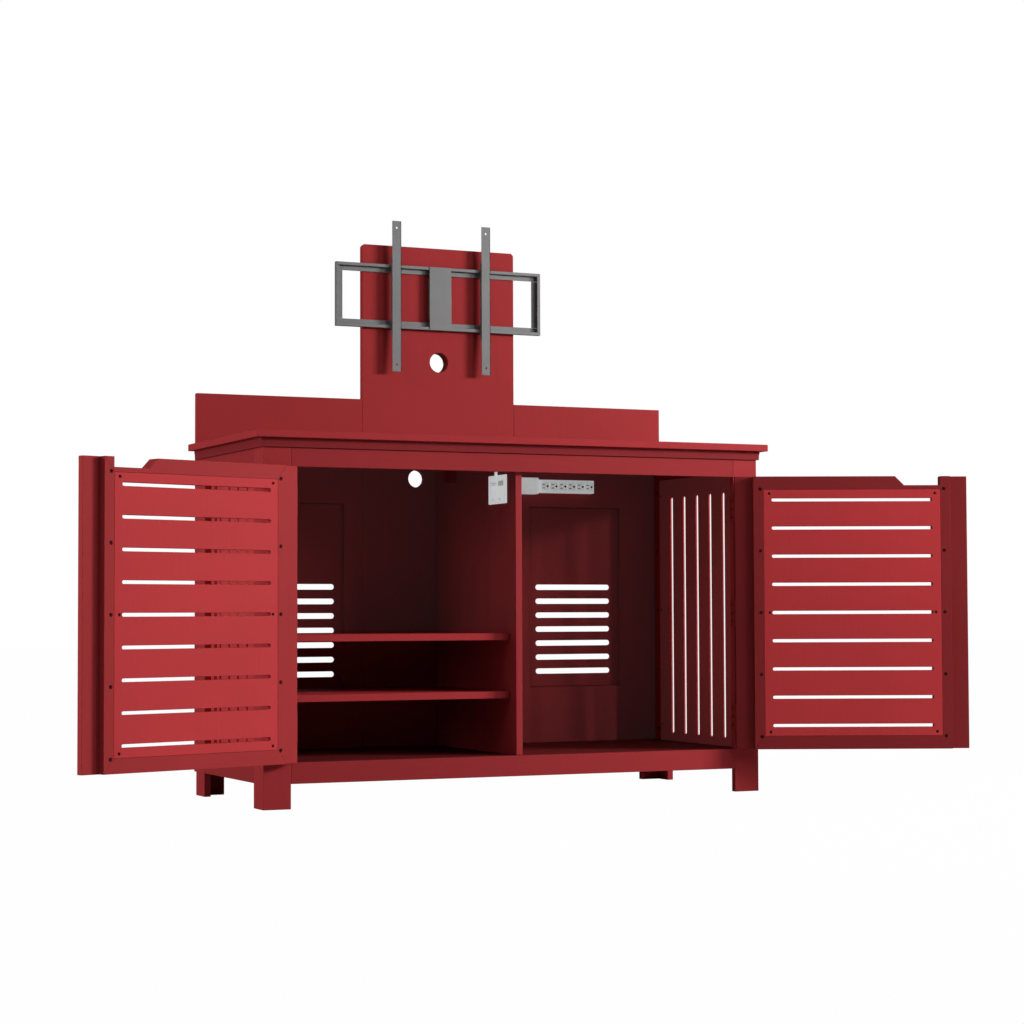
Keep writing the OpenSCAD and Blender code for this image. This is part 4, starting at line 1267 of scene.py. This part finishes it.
@dataclass
class Worktop(Assembly):
    """The worktop board and the cove moulding under it.

    Attributes:
        edges: Radii of the board's edges.
        lip_h: Height of the flat lip at the moulding's top.
        foot_h: Height of the flat foot at its bottom.
        foot_share: How far the foot stands proud, as a share of the lip's.
        bevel: Size of the bevels at its top and bottom.
        lip_step: How far above the cove the lip's flat starts.
        steps: Edges of the cove.
    """

    edges: Edges = Edges(1.6, 2.4)
    lip_h: float = 6.0
    foot_h: float = 4.0
    foot_share: float = 0.8
    bevel: float = 0.5
    lip_step: float = 0.4
    steps: int = 8

    def build(self) -> None:
        """Makes all its pieces."""
        self.flats("worktop", TOP, Axis.Z, Side.HIGH, self.edges)
        self.moulding()

    def section(self, low: float, high: float, proud: float, back: float) -> Loop:
        """The moulding's section as distance outwards and height.

        The cove runs from the foot to the lip along a quarter of an ellipse that is hollow
        towards outside: out = foot + (lip - foot) * (1 - cos t), height = start + rise *
        sin t, with t from 0 to 90 degrees.

        Args:
            low: Its lowest height.
            high: Its highest.
            proud: How far it stands out.
            back: How far it reaches back.

        Returns:
            The section.
        """
        foot = proud * self.foot_share
        start, end = low + self.foot_h, high - self.lip_h
        t = np.arange(self.steps + 1) * RIGHT_ANGLE / self.steps
        cove = np.column_stack([
            foot + (proud - foot) * (1 - np.cos(t)), start + (end - start) * np.sin(t)
        ])
        return np.concatenate([
            [[-back, low], [foot - self.bevel, low], [foot, low + self.bevel]], cove,
            [[proud, end + self.lip_step], [proud, high - self.bevel],
             [proud - self.bevel, high], [-back, high]],
        ])

    @staticmethod
    def run(section: Loop, start: Cut, end: Cut) -> Shape:
        """One straight length whose ends are cut where start and end say.

        Args:
            section: The section as distance outwards and height.
            start: Gives x and y of the cut end for a distance outwards.
            end: The same for the other end.

        Returns:
            The length, with its faces turned outwards.
        """
        out, height = section.T
        cuts = [np.stack(np.broadcast_arrays(*cut(out), height), -1) for cut in (start, end)]
        shape = swept(np.stack(cuts), False)
        a, b, c = shape.points[shape.faces[0][:3]]
        if np.cross(b - a, c - b) @ ((a + c) / 2 - shape.points.mean(0)) < 0:
            shape.faces = [face[::-1] for face in shape.faces]
        return shape

    def moulding(self) -> None:
        """The front length and both side lengths, mitred where they meet."""
        front = self.solids("front_moulding")[0]
        left, *_, right = self.solids("side_mouldings")
        proud, back = -front.low[1], front.high[1]
        section = self.section(front.low[2], front.high[2], proud, back)
        seam = left.low[1] - front.low[1]
        rear = left.high[1]
        x0, x1 = front.low[0] + proud, front.high[0] - proud
        left_x, right_x = left.low[0] + proud, right.high[0] - proud
        lengths = (
            ("front_moulding", Axis.X, [(lambda d: (x0 - d, -d), lambda d: (x1 + d, -d))]),
            ("side_mouldings", Axis.Y, [
                (lambda d: (left_x - d, seam - d), lambda d: (left_x - d, rear)),
                (lambda d: (right_x + d, seam - d), lambda d: (right_x + d, rear)),
            ]),
        )
        for node, grain, cuts in lengths:
            # Painted shade: the moulding's darker finish.
            material = MOULDING_PAINTED_SHADE.material(grain)
            parts = [(self.run(section, start, end), material) for start, end in cuts]
            self.stand_in(node, MOULDING_PAINTED_SHADE.slot, parts)


@dataclass
class BackWall(Assembly):
    """Back boards, screen board, stiffener, hatches and their battens.

    Attributes:
        edges: Radii of the boards' edges.
    """

    edges: Edges = Edges(0.8, 1.0)

    def build(self) -> None:
        """Makes all its pieces."""
        for node in ("left_back_board", "right_back_board", "screen_board"):
            self.flats(node, PANEL, Axis.Y, Side.LOW, self.edges)
        self.flats("screen_board_stiffener", FRAME, Axis.Y, Side.HIGH, self.edges)
        for node in ("left_hatch", "right_hatch"):
            self.flats(node, PANEL, Axis.Y, Side.LOW, self.edges)
        self.flats("hatch_battens", FRAME, Axis.Y, Side.HIGH)


@dataclass
class ScreenMount(Assembly):
    """Bracket, middle plate, rail frame and bolts.

    Attributes:
        bracket: Radii of the bracket's edges.
        plate: Radii of the middle plate's edges.
        rail: Radii of the rails' edges.
        head_below: Parts of a bolt that are shorter than this are heads.
        bolt_share: A bolt's radius as a share of the CAD bolt's.
        bolt_arris: The rounding of a bolt's edges.
        head_sides: The sides of a bolt's head.
        shank_sides: The points round its shank.
    """

    bracket: Edges = Edges(0.3, 1.0)
    plate: Edges = Edges(0.5, 2.0)
    rail: Edges = Edges(0.3, 0.9)
    head_below: float = 8.0
    bolt_share: float = 0.97
    bolt_arris: float = 0.25
    head_sides: int = 6
    shank_sides: int = 20

    def build(self) -> None:
        """Makes all its pieces."""
        self.flats("mount_bracket", STEEL, Axis.Z, Side.HIGH, self.bracket)
        self.flats("mount_plate", STEEL, Axis.Y, Side.LOW, self.plate)
        for node in ("mount_top_rail", "mount_bottom_rail"):
            self.flats(node, STEEL, Axis.X, Side.LOW, self.rail)
        self.colour_cad("mount_ends", STEEL)
        self.coated("mount_bolts", BOLT, self.bolt)

    def bolt(self, solid: Solid) -> Iterator[Shape]:
        """A bolt with a hexagon head, read from the solid's own rings of points.

        Between two neighbouring levels the radius is the smaller of the two rings' radii.

        Args:
            solid: The CAD bolt, along Y.

        Yields:
            Its head and the parts of its shank.
        """
        levels = solid.levels(Axis.Y)
        x, _, z = solid.middle
        radii = [
            abs(solid.points[abs(solid.points[:, 1] - y) < LEVEL][:, 0] - x).max()
            for y in levels
        ]
        for a, b, ra, rb in zip(levels, levels[1:], radii, radii[1:]):
            sides = self.head_sides if b - a < self.head_below else self.shank_sides
            loop = circle(z, x, min(ra, rb) * self.bolt_share, sides)
            yield soft_prism([loop], (a, b), Edges(self.bolt_arris, 0.0), 2).along(Axis.Y)


@dataclass
class MountArm(Assembly):
    """One upright folded strip that slides along the rails, with its two hook bolts.

    Attributes:
        hand: Which arm it is.
        edges: Radii of the strip's edges.
    """

    hand: Hand = Hand.LEFT
    edges: Edges = Edges(0.3, 0.6)

    def __post_init__(self) -> None:
        """Names its body."""
        self.body = f"{self.hand.value}_arm"

    def build(self) -> None:
        """Makes the strip and paints its bolts."""
        self.coated(self.body, STEEL, self.folds)
        self.colour_cad(f"{self.body}_bolts", BOLT)

    def folds(self, solid: Solid) -> Iterator[Shape]:
        """The strip's front, its short back and the web that joins them.

        Args:
            solid: The CAD strip, whose wall ends at the first level behind its front.

        Yields:
            Each of the three.
        """
        low, high = solid.low, solid.high
        front, behind = solid.levels(Axis.Y)[:2]
        wall = behind - front
        for axis, side, span in (
            (Axis.Y, Side.LOW, (low[1], low[1] + wall)),
            (Axis.Y, Side.HIGH, (high[1] - wall, high[1])),
            (Axis.X, Side.HIGH, (high[0] - wall, high[0])),
        ):
            yield solid.soft(axis, side, self.edges, span)


@dataclass
class PowerKit(Assembly):
    """The power strip on the back wall and the control box on the divider.

    The marks on the box are given as shares of its width, which runs towards the back, and
    of its height, and the round ones with radii in millimetres.

    Attributes:
        strip_edges: Radii of the strip's edges.
        bend: Radius of the rounded end of the strip's head.
        bend_steps: Edges of that end.
        overlap: How far the strip's body reaches into its head.
        socket: Radii of the socket inserts' edges.
        slit_grown: The slits' size as a share of the CAD slits'.
        slit_proud: How far the dark sheet of painted shade in a slit stands out.
        slit_depth: How deep it goes.
        box: Radii of the control box's edges.
        tab: Radii of its tab's edges.
        mark_proud: How far the box's marks stand out.
        mark_depth: How deep they go.
        mark_corner: Radius of their corners.
        window: The display window, from one corner to the other.
        line: The upper line beside it.
        short_line: The lower line.
        button: The button.
        ring: The ring, with its outer and inner radius.
    """

    strip_edges: Edges = Edges(2.0, 2.2)
    bend: float = 13.0
    bend_steps: int = 8
    overlap: float = 4.0
    socket: Edges = Edges(0.2, 1.6)
    slit_grown: float = 1.3
    slit_proud: float = 0.05
    slit_depth: float = 2.0
    box: Edges = Edges(1.4, 3.0)
    tab: Edges = Edges(0.6, 1.2)
    mark_proud: float = 0.25
    mark_depth: float = 0.3
    mark_corner: float = 0.6
    window: tuple[float, ...] = (0.14, 0.62, 0.44, 0.80)
    line: tuple[float, ...] = (0.55, 0.72, 0.86, 0.75)
    short_line: tuple[float, ...] = (0.58, 0.66, 0.82, 0.685)
    button: tuple[float, ...] = (0.34, 0.15, 3.6)
    ring: tuple[float, ...] = (0.74, 0.15, 4.4, 2.9)

    def build(self) -> None:
        """Makes all its pieces."""
        self.strip()
        self.flats("power_strip_sockets", SOCKET, Axis.Y, Side.LOW, self.socket)
        self.flats("control_box", CASE, Axis.X, Side.LOW, self.box)
        self.flats("control_box_tab", CASE, Axis.X, Side.LOW, self.tab)
        self.marks()

    def strip(self) -> None:
        """The strip's long body, its deeper head and dark sheets of painted shade in the slits of
        its sockets.

        The head's outline in x and y ends in a quarter of a circle towards the body:
        x = joint - r (1 - sin t), y = front + r (1 - cos t), with t from 0 to 90 degrees.
        """
        solid = self.solids("power_strip_case")[0]
        low, high = solid.low, solid.high
        joint = solid.end_points(Axis.Z, Side.HIGH)[:, 0].max()
        end = solid.end_points(Axis.X, Side.HIGH)
        body = oblong(joint - self.overlap, end[:, 1].min(), high[0], high[1])
        t = np.arange(self.bend_steps + 1) * RIGHT_ANGLE / self.bend_steps
        bend = np.column_stack([
            joint - self.bend * (1 - np.sin(t)), low[1] + self.bend * (1 - np.cos(t))
        ])
        head = np.concatenate([[low[:2]], bend, [[joint, high[1]], [low[0], high[1]]]])
        heights = (end[:, 2].min(), end[:, 2].max())
        parts = [
            (soft_prism([loop], span, self.strip_edges).along(Axis.Z), STRIP.material())
            for loop, span in ((body, heights), (head, (low[2], high[2])))
        ]
        for insert in self.solids("power_strip_sockets"):
            front = insert.low[1]
            loops = insert.outline(Axis.Y, Side.LOW)
            rim = by_size(loops)[0]
            span = (front - self.slit_proud, front + self.slit_depth)
            # Painted shade: a dark sheet in each slit.
            for slit in (loop for loop in loops if loop is not rim):
                grown = (slit - slit.mean(0)) * self.slit_grown + slit.mean(0)
                shape = soft_prism([grown], span, Edges(0.0, 0.0)).along(Axis.Y)
                parts.append((shape, SLIT_PAINTED_SHADE.material()))
        self.stand_in("power_strip_case", STRIP.slot, parts)

    def marks(self) -> None:
        """The generic marks on the control box: a window, two lines, a button and a ring."""
        box = self.solids("control_box")[0]
        face, y, z = box.low
        _, w, h = box.size
        marks = [
            ([oblong(y + a * w, z + b * h, y + c * w, z + d * h)], finish)
            for (a, b, c, d), finish in (
                (self.window, WINDOW), (self.line, MARK), (self.short_line, MARK),
            )
        ]
        for across, up, *radii in (self.button, self.ring):
            marks.append(([circle(y + across * w, z + up * h, r) for r in radii], MARK))
        edges = Edges(0.0, self.mark_corner)
        span = (face - self.mark_proud, face + self.mark_depth)
        self.add("control_box_marks", MARK.slot, [
            (soft_prism(loops, span, edges).along(Axis.X), finish.material())
            for loops, finish in marks
        ])


@dataclass
class Door(Assembly):
    """One door: stiles, rails, mitred border, slotted panel, screws and hinge leaves.

    Attributes:
        hand: Which door it is.
        rest_degrees: The door's turn from closed to rest, about +Z.
        timber: The finish of its frame and of its inner border; the right door's is a darker copy
            as painted shade.
        edges: Radii of its boards' edges.
        border: Radii of the border's edges.
    """

    hand: Hand = Hand.LEFT
    rest_degrees: float = 0.0
    timber: BoardFinish = DOOR_FRAME
    edges: Edges = Edges(1.0, 1.3)
    border: Edges = Edges(0.4, 0.0)

    def __post_init__(self) -> None:
        """Names its body and takes the door's own frame, turned about its hinge."""
        self.body = f"{self.hand.value}_door"
        x, y, _ = next(j for j in frame["joints"] if j["child"] == self.body)["pos_m"]
        self.place = Placement((x, y, self.place.origin[2]), self.rest_degrees)

    def build(self) -> None:
        """Makes all its pieces."""
        for part in ("stiles", "rails"):
            self.flats(f"{self.body}_{part}", self.timber, Axis.Y, Side.LOW, self.edges)
        self.flats(f"{self.body}_border", self.timber, Axis.Y, Side.HIGH, self.border)
        self.flats(f"{self.body}_panel", DOOR_PANEL, Axis.Y, Side.HIGH, self.edges)
        self.screws(f"{self.body}_screws")
        self.colour_cad(f"{self.body}_hinge_leaves", HINGE)


@dataclass
class Hinges(Assembly):
    """The leg leaves and pins of the hinges.

    Attributes:
        tip: Length of a pin's bevelled tip.
        tip_share: The tip's radius as a share of the pin's.
        head_h: Height of its head.
        dome_h: Height of the head's dome.
        dome: The dome's steps, as shares of the dome's height above its foot and of the
            head's radius.
    """

    tip: float = 0.6
    tip_share: float = 0.6
    head_h: float = 1.6
    dome_h: float = 0.8
    dome: tuple[tuple[float, float], ...] = ((0.0, 1.0), (0.75, 0.8), (1.0, 0.5))

    def build(self) -> None:
        """Paints the leaves and rebuilds the pins with round heads."""
        self.colour_cad("leg_hinge_leaves", HINGE)
        self.coated("hinge_pins", HINGE, self.pin)

    def pin(self, solid: Solid) -> Iterator[Shape]:
        """An upright pin with a bevelled tip and a domed head."""
        head, r = solid.size[0] / 2, solid.radius_at(Axis.Z, Side.LOW)
        low, high = solid.span(Axis.Z)
        neck, foot = high - self.head_h, high - self.dome_h
        profile = [(r * self.tip_share, low), (r, low + self.tip), (r, neck), (head, neck)]
        profile += [(head * share, foot + self.dome_h * up) for up, share in self.dome]
        yield turned_solid(profile).along(Axis.Z, (*solid.middle[:2], 0))


@dataclass
class Fasteners(Assembly):
    """The cabinet's own screws."""

    def build(self) -> None:
        """Makes the screws."""
        self.screws("cabinet_screws")


# Studio


@dataclass(frozen=True)
class Lamp:
    """One area lamp.

    Attributes:
        name: Its name.
        at: Where it stands, millimetres in the cabinet's frame.
        size: Its width and height in metres.
        watts: Its power.
    """

    name: str
    at: tuple[float, float, float]
    size: tuple[float, float]
    watts: float


@dataclass
class Studio:
    """Camera, lamps, floor and surroundings. Places are in the cabinet's frame.

    Attributes:
        place: The cabinet's frame.
        camera_at: Where the camera stands.
        pitch: How far it looks up, in degrees.
        yaw: How far it looks to the right.
        roll: How far it is tilted.
        lens: Its focal length.
        film: The width of its film.
        clip: How far it sees, in metres.
        aim: What the lamps point at.
        lamps: The lamps.
        ambient: The strength of the light from all round.
        floor_half: Half the floor's width, in metres.
        floor_grey: How much light the floor sends back.
        floor_glow: How white the camera sees it, where 1 hides all shadows.
        floor_cloud: How far that wanders.
        floor_waves: How finely it wanders, in waves per metre.
    """

    place: Placement
    camera_at: tuple[float, float, float] = (-1961.6, -5793.4, 502.8)
    pitch: float = 2.47
    yaw: float = 24.73
    roll: float = 0.2
    lens: float = 82.9
    film: float = 36.0
    clip: float = 100.0
    aim: tuple[float, float, float] = (736, 200, 600)
    lamps: tuple[Lamp, ...] = (
        Lamp("right", (4975, -2449, 2033), (1.4, 0.6), 340),
        Lamp("soft_right", (3291, -3889, 2548), (1.6, 1.6), 56),
        Lamp("left", (-4406, 470, 1324), (1.6, 1.6), 136),
        Lamp("high_left", (-2953, -1930, 3583), (1.6, 1.6), 22),
    )
    ambient: float = 0.16
    floor_half: float = 30.0
    floor_grey: float = 0.45
    floor_glow: float = 0.988
    floor_cloud: float = 0.004
    floor_waves: float = 0.5

    def build(self) -> None:
        """Sets the whole studio up."""
        self.add_camera()
        for lamp in self.lamps:
            self.add_lamp(lamp)
        self.add_floor()
        self.set_world()
        bpy.context.scene.view_settings.view_transform = "Standard"

    def spot(self, point: Sequence[float]) -> Vector:
        """A point of the cabinet's frame in the row frame."""
        return Vector(self.place.to_row(np.array([point], float))[0])

    def add_camera(self) -> None:
        """The camera that was fitted to the photo."""
        data = bpy.data.cameras.new("photo_camera")
        data.lens = self.lens
        data.sensor_width = self.film
        data.clip_end = self.clip
        camera = linked("photo_camera", data)
        camera.location = self.spot(self.camera_at)
        turns = ((-self.yaw, "Z"), (90 + self.pitch, "X"), (-self.roll, "Z"))
        yaw, pitch, roll = (Matrix.Rotation(radians(angle), 3, axis) for angle, axis in turns)
        camera.rotation_euler = (yaw @ pitch @ roll).to_euler()
        bpy.context.scene.camera = camera

    def add_lamp(self, lamp: Lamp) -> None:
        """One rectangular area lamp."""
        data = bpy.data.lights.new(lamp.name, "AREA")
        data.shape = "RECTANGLE"
        data.size, data.size_y = lamp.size
        data.energy = lamp.watts
        made = linked(lamp.name, data)
        made.location = self.spot(lamp.at)
        aim = self.spot(self.aim) - made.location
        made.rotation_euler = aim.to_track_quat("-Z", "Y").to_euler()

    def add_floor(self) -> None:
        """A white ground that keeps a faint shadow."""
        material = bpy.data.materials.new("floor_white")
        g = Graph(material)
        grey = self.floor_grey
        plain = g.node("ShaderNodeBsdfDiffuse", None, {"Color": (grey, grey, grey, 1.0)})
        glow = g.node("ShaderNodeEmission", None, {"Color": WHITE, "Strength": 1.0})
        seen = g.node("ShaderNodeLightPath", output="Is Camera Ray")
        cloud = g.noise(g.place([self.floor_waves] * 3), detail=3.0)
        share = seen * (cloud * self.floor_cloud + self.floor_glow)
        g.end(g.node("ShaderNodeMixShader", None, {0: share, 1: plain, 2: glow}))
        half = self.floor_half
        corners = [(*corner, 0.0) for corner in oblong(-half, -half, half, half)]
        mesh = bpy.data.meshes.new("floor")
        mesh.from_pydata(corners, [], [(0, 1, 2, 3)])
        mesh.materials.append(material)
        linked("floor", mesh)

    def set_world(self) -> None:
        """White where the camera looks past the object, and a softer light elsewhere."""
        world = bpy.data.worlds.new("surroundings")
        bpy.context.scene.world = world
        g = Graph(world)
        seen = g.node("ShaderNodeLightPath", output="Is Camera Ray")
        soft, white = (
            g.node("ShaderNodeBackground", None, {"Color": WHITE, "Strength": s})
            for s in (self.ambient, 1.0)
        )
        mix = g.node("ShaderNodeMixShader", None, {0: seen, 1: soft, 2: white})
        g.end(mix, "ShaderNodeOutputWorld")


def cabinet_place() -> Placement:
    """The cabinet's own frame: its zero point is the left front leg's lowest corner."""
    low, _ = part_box("front_left_leg_face")
    return Placement((low.x, low.y, low.z))


def main() -> None:
    """Builds the finished object and the studio, and reports what was made."""
    logging.basicConfig(level=logging.INFO, format="%(name)s: %(message)s")
    place = cabinet_place()
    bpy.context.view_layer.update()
    assemblies = [
        Carcass(place),
        Shelving(place),
        Worktop(place),
        BackWall(place),
        ScreenMount(place),
        MountArm(place, hand=Hand.LEFT),
        MountArm(place, hand=Hand.RIGHT),
        PowerKit(place),
        Door(place, hand=Hand.LEFT, rest_degrees=-161.0),
        # Painted shade: the right door's frame and border get the darker copy of the door frame
        # finish.
        Door(place, hand=Hand.RIGHT, rest_degrees=156.0, timber=DOOR_FRAME_PAINTED_SHADE),
        Hinges(place),
        Fasteners(place),
    ]
    for assembly in assemblies:
        assembly.build()
        for piece in assembly.made:
            LOG.info("%s on %s: %d faces", piece.name, assembly.body, len(piece.data.polygons))
    Studio(place).build()


if __name__ == "__main__":
    main()
